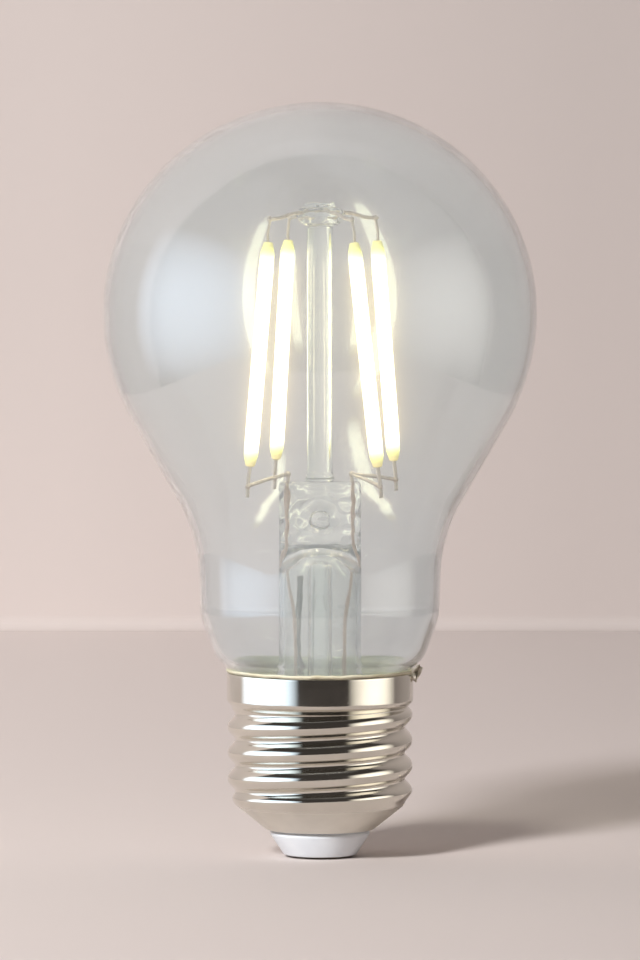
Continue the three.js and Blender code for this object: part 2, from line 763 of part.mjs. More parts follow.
const frontFace = -BOARD.thickness / 2 - FIT_GAP;
const backFace = BOARD.thickness / 2 + FIT_GAP;

function driverLiner() {
  return turnedRing([
    point2(LINER.radius - LINER.wall, LINER.bottom),
    point2(LINER.radius, LINER.bottom),
    point2(LINER.radius, LINER.top),
    point2(LINER.radius - LINER.wall, LINER.top),
  ], ROUND.medium);
}

function smoothingCapacitor() {
  const y = frontFace - CAPACITOR.radius;
  const top = COMPONENT_FOOT + CAPACITOR.length;
  return turned(roundedOutline([
    { r: 0, z: COMPONENT_FOOT },
    { r: CAPACITOR.radius, z: COMPONENT_FOOT, round: 0.4 },
    { r: CAPACITOR.radius, z: top, round: 0.4 },
    { r: 0, z: top },
  ], 2), ROUND.medium).translate(CAPACITOR.x, y, 0);
}

function drumInductor() {
  const y = frontFace - INDUCTOR.radius;
  const top = COMPONENT_FOOT + INDUCTOR.height;
  return turned([
    point2(0, COMPONENT_FOOT),
    point2(INDUCTOR.radius, COMPONENT_FOOT),
    point2(INDUCTOR.radius, COMPONENT_FOOT + INDUCTOR.flange),
    point2(INDUCTOR.waist, COMPONENT_FOOT + INDUCTOR.flange),
    point2(INDUCTOR.waist, top - INDUCTOR.flange),
    point2(INDUCTOR.radius, top - INDUCTOR.flange),
    point2(INDUCTOR.radius, top),
    point2(0, top),
  ], ROUND.coarse).translate(INDUCTOR.x, y, 0);
}

function boxOnBack(size) {
  const top = size.bottom + size.height;
  return block(size.width, size.depth, size.bottom, top, size.x, backFace + size.depth / 2);
}

const resistorY = frontFace - RESISTOR.radius;
const radioBoardY = backFace + RADIO.headerDepth + FIT_GAP + RADIO.boardThickness / 2;
const radioMiddle = (RADIO.boardBottom + RADIO.boardTop) / 2;
const shieldY = radioBoardY + RADIO.boardThickness / 2 + FIT_GAP + RADIO.shieldDepth / 2;

addPiece('driver_liner', driverLiner(), 'liner');
addPiece('driver_board', block(BOARD.width, BOARD.thickness, BOARD.bottom, BOARD.top, 0, 0), 'boardLaminate');
addPiece('smoothing_capacitor', smoothingCapacitor(), 'capacitorSleeve');
addPiece('drum_inductor', drumInductor(), 'ferrite');
addPiece('fusible_resistor', uprightCylinder(
  RESISTOR.radius, COMPONENT_FOOT, COMPONENT_FOOT + RESISTOR.length, ROUND.coarse, RESISTOR.x, resistorY),
  'resistorBody');
addPiece('bridge_rectifier', boxOnBack(RECTIFIER), 'moulding');
addPiece('dimming_driver_chip', boxOnBack(DRIVER_CHIP), 'moulding');
const headerBottom = RADIO.boardBottom + RADIO.headerInset;
addPiece('radio_header', block(
  RADIO.headerWidth, RADIO.headerDepth, headerBottom, headerBottom + RADIO.headerHeight,
  RADIO.centreX, backFace + RADIO.headerDepth / 2), 'moulding');
addPiece('radio_board', block(
  RADIO.boardWidth, RADIO.boardThickness, RADIO.boardBottom, RADIO.boardTop,
  RADIO.centreX, radioBoardY), 'boardLaminate');
addPiece('radio_shield', block(
  RADIO.shieldSize, RADIO.shieldDepth, radioMiddle - RADIO.shieldSize / 2, radioMiddle + RADIO.shieldSize / 2,
  RADIO.centreX, shieldY), 'nickel');

// ---------------------------------------------------------------- wires in the cap

function liveWire() {
  const start = CONTACT.nailTop + FIT_GAP + LIVE_WIRE.radius;
  return wireAlong([
    point3(0, 0, start),
    point3(LIVE_WIRE.bendX, LIVE_WIRE.bendY, start),
    point3(RESISTOR.x - LIVE_WIRE.approach, resistorY, start + LIVE_WIRE.rise),
    point3(RESISTOR.x, resistorY, COMPONENT_FOOT - FIT_GAP),
  ], LIVE_WIRE.radius, 10);
}

function antennaWire() {
  const ring = STEM.tubeRadius - STEM.wall - ANTENNA.fromTubeWall - ANTENNA.radius;
  return wireAlong([
    point3(ANTENNA.footX, radioBoardY, RADIO.boardTop + FIT_GAP),
    point3(0, radioBoardY, BOARD.top + ANTENNA.aboveBoard),
    polar(ring, ANTENNA.angle, STEM.flareBend),
    polar(ring, ANTENNA.angle, STEM.pressBottom - ANTENNA.topBelowPress),
  ], ANTENNA.radius, 12);
}

addPiece('live_wire', liveWire(), 'wire');
addPiece('antenna_wire', antennaWire(), 'insulatedWire');

export default group;
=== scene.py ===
"""Looks of the smart filament bulb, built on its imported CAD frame.

Lengths are written in millimetres and turned into metres by MM. +Z is up, -Y faces the camera.
"""
import math

import bmesh
import bpy
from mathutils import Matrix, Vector, noise


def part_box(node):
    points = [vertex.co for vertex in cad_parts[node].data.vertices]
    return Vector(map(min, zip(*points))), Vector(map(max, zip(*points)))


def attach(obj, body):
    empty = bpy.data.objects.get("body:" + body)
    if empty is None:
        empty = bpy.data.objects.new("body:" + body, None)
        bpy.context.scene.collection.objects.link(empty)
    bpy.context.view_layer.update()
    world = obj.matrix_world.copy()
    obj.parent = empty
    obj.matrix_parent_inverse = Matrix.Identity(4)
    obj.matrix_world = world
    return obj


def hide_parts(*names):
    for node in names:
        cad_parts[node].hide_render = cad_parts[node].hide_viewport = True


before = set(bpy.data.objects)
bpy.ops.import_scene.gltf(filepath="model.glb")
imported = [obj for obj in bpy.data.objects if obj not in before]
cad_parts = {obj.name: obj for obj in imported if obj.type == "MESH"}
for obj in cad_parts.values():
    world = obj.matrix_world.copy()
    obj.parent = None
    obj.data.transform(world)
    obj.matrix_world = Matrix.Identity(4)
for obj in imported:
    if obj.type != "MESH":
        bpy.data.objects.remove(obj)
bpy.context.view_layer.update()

MM = 0.001


# ---------------------------------------------------------------- sizes taken from the frame

def box_mm(node):
    """A CAD node's lowest and highest corner, in millimetres."""
    low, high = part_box(node)
    return Vector(low) / MM, Vector(high) / MM


ENVELOPE_LOW, ENVELOPE_HIGH = box_mm("glass_envelope")
SHELL_LOW, SHELL_HIGH = box_mm("screw_shell")
STEM_LOW, STEM_HIGH = box_mm("stem_glass")
_, ROD_HIGH = box_mm("stem_rod")
BUTTON_LOW, BUTTON_HIGH = box_mm("glass_button")
INSULATOR_LOW, INSULATOR_HIGH = box_mm("base_insulator")
_, CONTACT_HIGH = box_mm("centre_contact")
SOLDER_LOW, SOLDER_HIGH = box_mm("side_solder")
EXHAUST_LOW, EXHAUST_HIGH = box_mm("exhaust_tube")

# Screw shell
RIM = SHELL_HIGH.z
MOUTH = SHELL_LOW.z
SHEET = 0.45
MOUTH_RADIUS = 6.9
BOWL_LIP_RADIUS = 7.6
BOWL_TOP = 7.4
ROOT_RADIUS = 11.95
COLLAR_RADIUS = 13.1
COLLAR_BOTTOM = RIM - 4.0
COLLAR_FOOT = COLLAR_BOTTOM - 1.25
PITCH = 3.629
CREST_RADIUS = 13.0
CREST_AT_RIGHT = RIM - 5.9
CREST_BROADNESS = 0.3
RUN_IN = (BOWL_TOP - 0.6, BOWL_TOP + 2.2)
RUN_OUT = (COLLAR_FOOT - 0.4, COLLAR_BOTTOM + 0.2)

# Glass envelope
WALL = 0.9
BODY_RADIUS = ENVELOPE_HIGH.x
BODY_CENTRE = 76.5
CROWN = ENVELOPE_HIGH.z
CONE_ANGLE = math.radians(30)
NECK_TOP_RADIUS = 17.15
NECK_BOTTOM_RADIUS = 16.75
NECK_BOTTOM = RIM + 8.0
SHOULDER_RADIUS = COLLAR_RADIUS + 1.65
SHOULDER = RIM + 2.2
TAIL_RADIUS = 11.6
TAIL_TOP = RIM - 0.8
TAIL_BOTTOM = ENVELOPE_LOW.z

# Stem
TUBE_RADIUS = 5.8
TUBE_WALL = 0.8
PRESS_TOP = STEM_HIGH.z
PRESS_LENGTH = 8.5
PRESS_BOTTOM = PRESS_TOP - PRESS_LENGTH
TUBE_TOP = PRESS_BOTTOM - 4.0
PRESS_HALF_WIDTH = TUBE_RADIUS - 0.05
PRESS_HALF_DEPTH = 1.75
PRESS_SQUARENESS = 0.65
PRESS_ROUNDING = 0.5
PRESS_BLEND_STEPS = 8
PRESS_STEPS = 28
DIMPLE_BELOW_TOP = 5.3
LEAD_PRESS_X = PRESS_HALF_WIDTH - 1.25
LEAD_TUBE_X = TUBE_RADIUS - TUBE_WALL - 1.5
LEAD_RADIUS = 0.26
ROD_RADIUS = ROD_HIGH.x

# Filaments
FILAMENT_RADIUS = 1.0
FILAMENT_TOP = BODY_CENTRE + 10.0
FILAMENT_FOOT = FILAMENT_TOP - 31.0
TOP_RING = 9.0
FOOT_RING = 12.3
FILAMENT_SPOTS = {
    "front_left": ("left", 217, 218),
    "back_left": ("left", 120, 120.5),
    "front_right": ("right", 301.5, 310.5),
    "back_right": ("right", 27, 31.5),
}
TERMINAL_WIDTH = 0.6
TERMINAL_THICKNESS = 0.25
UPPER_TERMINAL = 3.2
LOWER_TERMINAL = 4.3
TIE_HEIGHT = BUTTON_LOW.z + 1.7
TIE_RADIUS = 0.25
LEAD_CROSSING = 2.7

BODY = "root"
FINE = 128
SHELL_SEGMENTS = 180
ENVELOPE_SEGMENTS = 224
ENVELOPE_ARC_STEPS = 24
WAIST_STEPS = 20
CROWN_STEPS = 60


# ---------------------------------------------------------------- mesh helpers

def polar(radius, degrees, height):
    angle = math.radians(degrees)
    return Vector((radius * math.cos(angle), radius * math.sin(angle), height))


def make_piece(name, vertices, faces, material, stands_for=(), smooth=True):
    """A new mesh piece from points in millimetres, riding on the bulb's one body."""
    mesh = bpy.data.meshes.new(name)
    mesh.from_pydata([Vector(v) * MM for v in vertices], [], faces)
    work = bmesh.new()
    work.from_mesh(mesh)
    bmesh.ops.remove_doubles(work, verts=work.verts, dist=1e-7)
    bmesh.ops.dissolve_degenerate(work, edges=work.edges, dist=1e-8)
    bmesh.ops.recalc_face_normals(work, faces=work.faces)
    work.to_mesh(mesh)
    work.free()
    for polygon in mesh.polygons:
        polygon.use_smooth = smooth
    mesh.materials.append(material)
    piece = bpy.data.objects.new(name, mesh)
    bpy.context.scene.collection.objects.link(piece)
    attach(piece, BODY)
    if stands_for:
        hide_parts(*stands_for)
    return piece


def rounded_outline(corners, arc_steps=8):
    """Corner points (radius, height, rounding) turned into a smooth outline of 2-D points."""
    outline = []
    for index, (radius, height, rounding) in enumerate(corners):
        here = Vector((radius, height))
        if not rounding or index in (0, len(corners) - 1):
            outline.append(here)
            continue
        to_before = (Vector(corners[index - 1][:2]) - here).normalized()
        to_after = (Vector(corners[index + 1][:2]) - here).normalized()
        half_angle = math.acos(max(-1.0, min(1.0, to_before.dot(to_after)))) / 2
        centre = here + (to_before + to_after).normalized() * rounding / math.sin(half_angle)
        tangent = rounding / math.tan(half_angle)
        start = here + to_before * tangent - centre
        end = here + to_after * tangent - centre
        turn = math.atan2(start.x * end.y - start.y * end.x, start.dot(end))
        for step in range(arc_steps + 1):
            angle = turn * step / arc_steps
            c, s = math.cos(angle), math.sin(angle)
            outline.append(centre + Vector((start.x * c - start.y * s, start.x * s + start.y * c)))
    return outline


def offset_outline(outline, distance):
    """The outline moved to the left of its direction of travel."""
    moved = []
    for index, here in enumerate(outline):
        before = outline[max(index - 1, 0)]
        after = outline[min(index + 1, len(outline) - 1)]
        along = (after - before).normalized()
        moved.append(Vector((max(here.x - along.y * distance, 0.0), here.y + along.x * distance)))
    return moved


def skin_rings(rings, endless=False):
    """Vertices and faces of a stack of equal rings, capped at both ends unless it is endless."""
    count = len(rings[0])
    vertices = [point for ring in rings for point in ring]
    faces = []
    for band in range(len(rings) if endless else len(rings) - 1):
        lower = band * count
        upper = ((band + 1) % len(rings)) * count
        for j in range(count):
            k = (j + 1) % count
            faces.append((lower + j, lower + k, upper + k, upper + j))
    if not endless:
        faces.append(tuple(reversed(range(count))))
        faces.append(tuple(range(len(vertices) - count, len(vertices))))
    return vertices, faces


def lathe(outline, segments=FINE, closed=False):
    """Vertices and faces of an outline turned about the axis. Its ends lie on the axis, or it is closed."""
    rings = []
    for point in outline:
        radius = max(point.x, 1e-5)
        rings.append([polar(radius, 360 * j / segments, point.y) for j in range(segments)])
    return skin_rings(rings, endless=closed)


def smooth_path(points, steps):
    """A Catmull-Rom curve through given points."""
    padded = [points[0] * 2 - points[1], *points, points[-1] * 2 - points[-2]]
    path = []
    for index in range(len(points) - 1):
        a, b, c, d = padded[index:index + 4]
        for step in range(steps):
            t = step / steps
            path.append(0.5 * (2 * b + (c - a) * t + (2 * a - 5 * b + 4 * c - d) * t ** 2
                               + (3 * b - a - 3 * c + d) * t ** 3))
    path.append(points[-1].copy())
    return path


def sweep(path, section, taper=None):
    """A section of 2-D points carried along a path without twisting. taper scales it along the way."""
    tangents = []
    for index in range(len(path)):
        before = path[max(index - 1, 0)]
        after = path[min(index + 1, len(path) - 1)]
        tangents.append((after - before).normalized())
    side = tangents[0].orthogonal().normalized()
    rings = []
    for index, (point, tangent) in enumerate(zip(path, tangents)):
        if index:
            side = tangents[index - 1].rotation_difference(tangent) @ side
        across = tangent.cross(side)
        scale = taper(index / (len(path) - 1)) if taper else 1.0
        rings.append([point + (side * x + across * y) * scale for x, y in section])
    return skin_rings(rings)


def round_section(radius, sides=16):
    return [(radius * math.cos(2 * math.pi * j / sides), radius * math.sin(2 * math.pi * j / sides))
            for j in range(sides)]


def strip_section(width, thickness, corner=0.06):
    """A flat strip with small rounded corners."""
    section = []
    for cx, cy, start in ((1, 1, 0), (-1, 1, 90), (-1, -1, 180), (1, -1, 270)):
        for step in range(4):
            angle = math.radians(start + 30 * step)
            section.append((cx * (width / 2 - corner) + corner * math.cos(angle),
                            cy * (thickness / 2 - corner) + corner * math.sin(angle)))
    return section


def rounded_ends(path, radius):
    """Extra stations at both ends, with a taper that closes the tube as a dome."""
    head = (path[0] - path[1]).normalized()
    tail = (path[-1] - path[-2]).normalized()
    shares = (0.95, 0.75, 0.45)
    start = [path[0] + head * radius * share for share in shares]
    end = [path[-1] + tail * radius * share for share in reversed(shares)]
    sizes = [math.sqrt(1 - share ** 2) for share in shares]
    scale = [*sizes, *([1.0] * len(path)), *reversed(sizes)]
    return [*start, *path, *end], scale


def round_wire(path, radius, sides=16):
    stations, scale = rounded_ends(path, radius)
    last = len(stations) - 1
    return sweep(stations, round_section(radius, sides), lambda t: scale[round(t * last)])


def merged(*shapes):
    """Several closed shapes as one list of vertices and faces."""
    vertices, faces = [], []
    for shape_vertices, shape_faces in shapes:
        base = len(vertices)
        vertices += shape_vertices
        faces += [tuple(base + index for index in face) for face in shape_faces]
    return vertices, faces


def blob(centre, radii, seed, roughness=0.12, segments=24, rings=14):
    """A lumpy ellipsoid, such as a weld bead."""
    outline = []
    for ring in range(rings + 1):
        angle = math.pi * ring / rings - math.pi / 2
        outline.append(Vector((math.cos(angle), math.sin(angle))))
    vertices, faces = lathe(outline, segments)
    shift = Vector((seed * 3.1, seed * 1.7, seed * 0.9))
    shaped = []
    for vertex in vertices:
        swell = 1 + roughness * noise.noise(vertex * 1.6 + shift)
        shaped.append(Vector(centre) + Vector(v * r * swell for v, r in zip(vertex, radii)))
    return shaped, faces


# ---------------------------------------------------------------- material helpers

class Recipe:
    """A material's node tree, with short calls for the nodes that these materials share."""

    def __init__(self, name):
        self.material = bpy.data.materials.new(name)
        self.material.use_nodes = True
        self.tree = self.material.node_tree
        self.tree.nodes.clear()
        self.output = self.tree.nodes.new("ShaderNodeOutputMaterial")

    def node(self, kind, settings=None, **inputs):
        made = self.tree.nodes.new(kind)
        for key, value in (settings or {}).items():
            setattr(made, key, value)
        for key, value in inputs.items():
            socket = made.inputs[key.replace("_", " ")]
            if isinstance(value, bpy.types.NodeSocket):
                self.tree.links.new(value, socket)
            else:
                socket.default_value = value
        return made

    def principled(self, colour, roughness, metallic=0.0, **more):
        plain = isinstance(colour, tuple)
        shader = self.node("ShaderNodeBsdfPrincipled", Roughness=roughness, Metallic=metallic, **more)
        if plain:
            shader.inputs["Base Color"].default_value = (*colour, 1)
        else:
            self.tree.links.new(colour, shader.inputs["Base Color"])
        self.show(shader.outputs[0])
        return shader

    def show(self, shader_socket):
        for link in list(self.output.inputs["Surface"].links):
            self.tree.links.remove(link)
        self.tree.links.new(shader_socket, self.output.inputs["Surface"])

    def place(self, scale=(1, 1, 1)):
        """Coordinates in metres on the object, stretched by scale."""
        coordinates = self.node("ShaderNodeTexCoord")
        mapping = self.node("ShaderNodeMapping", Vector=coordinates.outputs["Object"])
        mapping.inputs["Scale"].default_value = scale
        return mapping.outputs[0]

    def cloud(self, scale, detail=4.0, stretch=(1, 1, 1), roughness=0.5):
        made = self.node("ShaderNodeTexNoise", Vector=self.place(stretch), Scale=scale, Detail=detail,
                         Roughness=roughness)
        return made.outputs["Fac"]

    def ramp(self, source, *stops):
        """A colour ramp with (position, colour) stops; a number stands for a grey."""
        made = self.node("ShaderNodeValToRGB", Fac=source)
        elements = made.color_ramp.elements
        while len(elements) > len(stops):
            elements.remove(elements[-1])
        while len(elements) < len(stops):
            elements.new(1.0)
        for element, (position, colour) in zip(elements, stops):
            element.position = position
            grey = isinstance(colour, (int, float))
            element.color = (colour, colour, colour, 1) if grey else (*colour, 1)
        return made.outputs["Color"]

    def between(self, source, low, high):
        """source, from 0 to 1, spread over low to high."""
        made = self.node("ShaderNodeMapRange", Value=source)
        made.inputs["To Min"].default_value = low
        made.inputs["To Max"].default_value = high
        return made.outputs["Result"]

    def by_height(self, low, high, below, above):
        """A value that changes from below to above between two heights in millimetres."""
        position = self.node("ShaderNodeTexCoord").outputs["Object"]
        height = self.node("ShaderNodeSeparateXYZ", Vector=position).outputs["Z"]
        share = self.node("ShaderNodeMapRange", Value=height)
        share.inputs["From Min"].default_value = low * MM
        share.inputs["From Max"].default_value = high * MM
        colour = isinstance(above, bpy.types.NodeSocketColor)
        mix = self.node("ShaderNodeMix", {"data_type": "RGBA" if colour else "FLOAT"})
        self.tree.links.new(share.outputs["Result"], mix.inputs["Factor"])
        first = 6 if colour else 2
        for socket, value in ((mix.inputs[first], below), (mix.inputs[first + 1], above)):
            if isinstance(value, bpy.types.NodeSocket):
                self.tree.links.new(value, socket)
            else:
                socket.default_value = value
        return mix.outputs[2 if colour else 0]

    def bump(self, height, distance, strength=1.0):
        made = self.node("ShaderNodeBump", Height=height, Distance=distance, Strength=strength)
        return made.outputs["Normal"]

    def add(self, a, b):
        made = self.node("ShaderNodeMath", {"operation": "ADD"})
        self.tree.links.new(a, made.inputs[0])
        self.tree.links.new(b, made.inputs[1])
        return made.outputs[0]

    def lets_lamps_through(self, shader_socket, tint):
        """Rays from lamps pass the glass straight, so that what is behind it is lit."""
        path = self.node("ShaderNodeLightPath")
        clear = self.node("ShaderNodeBsdfTransparent", Color=(*tint, 1))
        mix = self.node("ShaderNodeMixShader")
        self.tree.links.new(path.outputs["Is Shadow Ray"], mix.inputs[0])
        self.tree.links.new(shader_socket, mix.inputs[1])
        self.tree.links.new(clear.outputs[0], mix.inputs[2])
        self.show(mix.outputs[0])


# ---------------------------------------------------------------- materials

def glass_material(name, tint, shadow_tint, clarity, sheen, film, waviness, wave_scale):
    """Glass with a slight milky haze (clarity is the share it doesn't scatter) and a glossy film."""
    recipe = Recipe(name)
    ripple = recipe.cloud(wave_scale, detail=1.5)
    shader = recipe.principled(tint, 0.0, Transmission_Weight=clarity, IOR=1.47,
                               Specular_Tint=(*sheen, 1), Coat_Weight=film, Coat_IOR=1.7,
                               Coat_Roughness=0.14, Normal=recipe.bump(ripple, waviness))
    recipe.lets_lamps_through(shader.outputs[0], shadow_tint)
    return recipe.material


def nickel_material():
    """Bright nickel plate: cloudy gloss, faint drawing rings and pin-prick pits, and satin on the bowl."""
    recipe = Recipe("nickel_plate")
    rings = recipe.cloud(90, detail=2, stretch=(1, 1, 40))
    patches = recipe.cloud(140, detail=5)
    pits = recipe.ramp(recipe.cloud(2200, detail=2), (0.68, 0.0), (0.85, 0.6))
    colour = recipe.ramp(patches, (0.25, (0.66, 0.635, 0.57)), (0.6, (0.76, 0.735, 0.665)),
                         (0.85, (0.82, 0.80, 0.73)))
    polished = recipe.between(patches, 0.05, 0.17)
    roughness = recipe.by_height(BOWL_TOP - 0.6, BOWL_TOP + 0.4, 0.42, polished)
    height = recipe.add(recipe.between(rings, 0.0, 0.25), pits)
    recipe.principled(colour, roughness, 1.0, Normal=recipe.bump(height, 0.000008))
    return recipe.material


def wire_material():
    """Drawn nickel wire with long faint scratches."""
    recipe = Recipe("drawn_wire")
    scratches = recipe.cloud(900, detail=3, stretch=(3, 3, 0.4))
    colour = recipe.ramp(scratches, (0.3, (0.70, 0.62, 0.54)), (0.75, (0.94, 0.86, 0.77)))
    roughness = recipe.between(scratches, 0.3, 0.5)
    recipe.principled(colour, roughness, 0.75, Normal=recipe.bump(scratches, 0.00001))
    return recipe.material


def lead_in_material():
    """Lead-in wire: pale copper up to the top of the glass press, nickel above it."""
    recipe = Recipe("lead_in_wire")
    scratches = recipe.cloud(900, detail=3)
    copper = recipe.ramp(scratches, (0.3, (0.60, 0.44, 0.35)), (0.8, (0.80, 0.62, 0.51)))
    nickel = recipe.ramp(scratches, (0.3, (0.70, 0.62, 0.54)), (0.75, (0.94, 0.86, 0.77)))
    colour = recipe.by_height(PRESS_TOP - 0.8, PRESS_TOP + 0.2, copper, nickel)
    recipe.principled(colour, recipe.between(scratches, 0.3, 0.5), 0.75)
    return recipe.material


def filament_material():
    """Phosphor-filled silicone, white-hot between the ends and yellow-green where no diode lies under it."""
    recipe = Recipe("glowing_phosphor")
    along = recipe.node("ShaderNodeTexCoord").outputs["Generated"]
    height = recipe.node("ShaderNodeSeparateXYZ", Vector=along).outputs["Z"]
    light = recipe.ramp(
        height,
        (0.0, (0.95, 0.66, 0.28)),
        (0.04, (0.86, 0.86, 0.30)),
        (0.075, (1.0, 0.95, 0.70)),
        (0.13, (1.0, 0.88, 0.58)),
        (0.87, (1.0, 0.88, 0.58)),
        (0.925, (1.0, 0.95, 0.66)),
        (0.96, (0.80, 0.84, 0.26)),
        (1.0, (0.75, 0.66, 0.25)),
    )
    strength = recipe.between(
        recipe.ramp(height, (0.02, 0.0), (0.075, 0.2), (0.13, 1.0), (0.87, 1.0), (0.925, 0.2), (0.98, 0.0)),
        0.5, 6.0)
    grain = recipe.cloud(3000, detail=2)
    shader = recipe.principled((0.80, 0.72, 0.36), recipe.between(grain, 0.35, 0.5), 0.0)
    recipe.tree.links.new(light, shader.inputs["Emission Color"])
    recipe.tree.links.new(strength, shader.inputs["Emission Strength"])
    recipe.tree.links.new(recipe.bump(grain, 0.00002), shader.inputs["Normal"])
    return recipe.material


def insulator_material():
    """Moulded bluish-white plastic with faint flow clouds and rubbed dust."""
    recipe = Recipe("moulded_insulator")
    clouds = recipe.cloud(180, detail=5)
    grain = recipe.cloud(2200, detail=3)
    colour = recipe.ramp(clouds, (0.3, (0.73, 0.77, 0.82)), (0.7, (0.82, 0.855, 0.89)))
    recipe.principled(colour, recipe.between(grain, 0.3, 0.46), Normal=recipe.bump(grain, 0.000012),
                      Subsurface_Weight=0.15, Subsurface_Radius=(0.001, 0.001, 0.001))
    return recipe.material


def contact_material():
    """Tinned brass, scuffed where it has been pressed on a table or a spring."""
    recipe = Recipe("contact_metal")
    scuffs = recipe.cloud(700, detail=6, stretch=(1, 4, 1))
    colour = recipe.ramp(scuffs, (0.35, (0.62, 0.52, 0.33)), (0.7, (0.80, 0.75, 0.63)))
    recipe.principled(colour, recipe.between(scuffs, 0.22, 0.5), 1.0, Normal=recipe.bump(scuffs, 0.00002))
    return recipe.material


def solder_material():
    """Dull solder with a wrinkled, flux-stained skin."""
    recipe = Recipe("solder")
    wrinkles = recipe.cloud(1300, detail=6, roughness=0.65)
    stain = recipe.cloud(500, detail=3)
    colour = recipe.ramp(stain, (0.35, (0.33, 0.28, 0.21)), (0.6, (0.70, 0.67, 0.61)))
    recipe.principled(colour, recipe.between(wrinkles, 0.2, 0.5), 1.0, Normal=recipe.bump(wrinkles, 0.00008))
    return recipe.material


def cement_material():
    """Baked capping cement: cream, matt and pitted."""
    recipe = Recipe("capping_cement")
    clouds = recipe.cloud(420, detail=5)
    pits = recipe.cloud(2400, detail=4, roughness=0.7)
    colour = recipe.ramp(clouds, (0.3, (0.66, 0.60, 0.42)), (0.7, (0.80, 0.76, 0.60)))
    recipe.principled(colour, 0.8, Normal=recipe.bump(pits, 0.00006))
    return recipe.material


def grainy_plastic(name, colour, roughness=(0.4, 0.6), grain_scale=1800, depth=0.00002):
    """A moulded plastic, laminate or coating in one colour with slight mottling and a fine grain."""
    recipe = Recipe(name)
    grain = recipe.cloud(grain_scale, detail=4)
    darker = tuple(0.8 * channel for channel in colour)
    shade = recipe.ramp(recipe.cloud(300, detail=4), (0.3, darker), (0.7, colour))
    recipe.principled(shade, recipe.between(grain, *roughness), Normal=recipe.bump(grain, depth))
    return recipe.material


ENVELOPE_GLASS = glass_material("envelope_glass", (0.90, 0.95, 0.97), (0.78, 0.78, 0.76), 0.968,
                                (0.72, 0.88, 1.0), 0.65, 0.000002, 60)
STEM_GLASS = glass_material("stem_glass", (0.98, 0.99, 0.985), (0.93, 0.93, 0.92), 0.91,
                            (1.0, 1.0, 1.0), 0.3, 0.00012, 260)
NICKEL = nickel_material()
WIRE = wire_material()
LEAD_IN = lead_in_material()
PHOSPHOR = filament_material()
INSULATOR = insulator_material()
CONTACT = contact_material()
SOLDER = solder_material()
CEMENT = cement_material()
HIDDEN_MATERIALS = {
    "driver_liner": grainy_plastic("liner_film", (0.86, 0.86, 0.82)),
    "driver_board": grainy_plastic("board_laminate", (0.08, 0.27, 0.12), (0.35, 0.5)),
    "radio_board": grainy_plastic("radio_laminate", (0.05, 0.16, 0.26), (0.35, 0.5)),
    "radio_header": grainy_plastic("header_moulding", (0.04, 0.04, 0.045)),
    "bridge_rectifier": grainy_plastic("rectifier_moulding", (0.035, 0.035, 0.04)),
    "dimming_driver_chip": grainy_plastic("chip_moulding", (0.045, 0.045, 0.05)),
    "smoothing_capacitor": grainy_plastic("capacitor_sleeve", (0.07, 0.08, 0.13), (0.25, 0.4)),
    "drum_inductor": grainy_plastic("ferrite_drum", (0.12, 0.11, 0.11), (0.55, 0.75)),
    "fusible_resistor": grainy_plastic("resistor_lacquer", (0.20, 0.47, 0.55), (0.3, 0.45)),
    "antenna_wire": grainy_plastic("wire_insulation", (0.27, 0.25, 0.22), (0.35, 0.5)),
    "radio_shield": NICKEL,
    "neutral_wire": WIRE,
    "live_wire": WIRE,
}


def dress_hidden_nodes():
    """CAD pieces that keep their shape get their own material."""
    for node, material in HIDDEN_MATERIALS.items():
        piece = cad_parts[node]
        piece.data.materials.clear()
        piece.data.materials.append(material)


# ---------------------------------------------------------------- screw cap

def smoothstep(value, low, high):
    share = max(0.0, min(1.0, (value - low) / (high - low)))
    return share * share * (3 - 2 * share)


def thread_height(degrees, height):
    """How far the thread stands out there: crests broader than valleys, run in and out at its ends."""
    turns = (height - CREST_AT_RIGHT) / PITCH - degrees / 360
    phase = 2 * math.pi * turns
    wave = (1 + math.cos(phase - CREST_BROADNESS * math.sin(phase))) / 2
    rise = smoothstep(height, *RUN_IN) * (1 - smoothstep(height, *RUN_OUT))
    return (CREST_RADIUS - ROOT_RADIUS) * wave * rise


def shell_outline():
    """The shell from its mouth up the bowl and the root of the thread to the collar's rim."""
    return rounded_outline([
        (MOUTH_RADIUS, MOUTH, 0),
        (BOWL_LIP_RADIUS, MOUTH, 0.5),
        (ROOT_RADIUS, BOWL_TOP, 1.0),
        (ROOT_RADIUS, COLLAR_FOOT, 0.6),
        (COLLAR_RADIUS, COLLAR_BOTTOM, 0.6),
        (COLLAR_RADIUS, RIM - 0.15, 0),
        (COLLAR_RADIUS - 0.05, RIM, 0),
    ])


def denser(outline, spacing):
    """The outline with extra points, so that no two neighbours are further apart than spacing."""
    stations = [outline[0]]
    for here in outline[1:]:
        before = stations[-1]
        pieces = max(1, math.ceil((here - before).length / spacing))
        stations += [before.lerp(here, step / pieces) for step in range(1, pieces + 1)]
    return stations


def shell_ring(station, inset, segments):
    """One ring of the shell at an outline point, pushed out by the thread and in by inset."""
    ring = []
    for j in range(segments):
        degrees = 360 * j / segments
        threaded = min(station.x, ROOT_RADIUS) + thread_height(degrees, station.y)
        ring.append(polar(max(station.x, threaded) - inset, degrees, station.y))
    return ring


def build_screw_shell():
    """The thin rolled sheet, with the thread pressed into its outside and its inside."""
    outline = shell_outline()
    outer = [shell_ring(p, 0, SHELL_SEGMENTS) for p in denser(outline, 0.2)]
    lining = offset_outline(outline, SHEET)
    lining[0] = Vector((MOUTH_RADIUS, MOUTH + SHEET))
    lining[-1].y = RIM
    inner = [shell_ring(Vector((p.x + SHEET, p.y)), SHEET, SHELL_SEGMENTS) for p in denser(lining, 0.35)]
    vertices, faces = skin_rings(outer + inner[::-1], endless=True)
    make_piece("screw_shell_sheet", vertices, faces, NICKEL, ["screw_shell"])


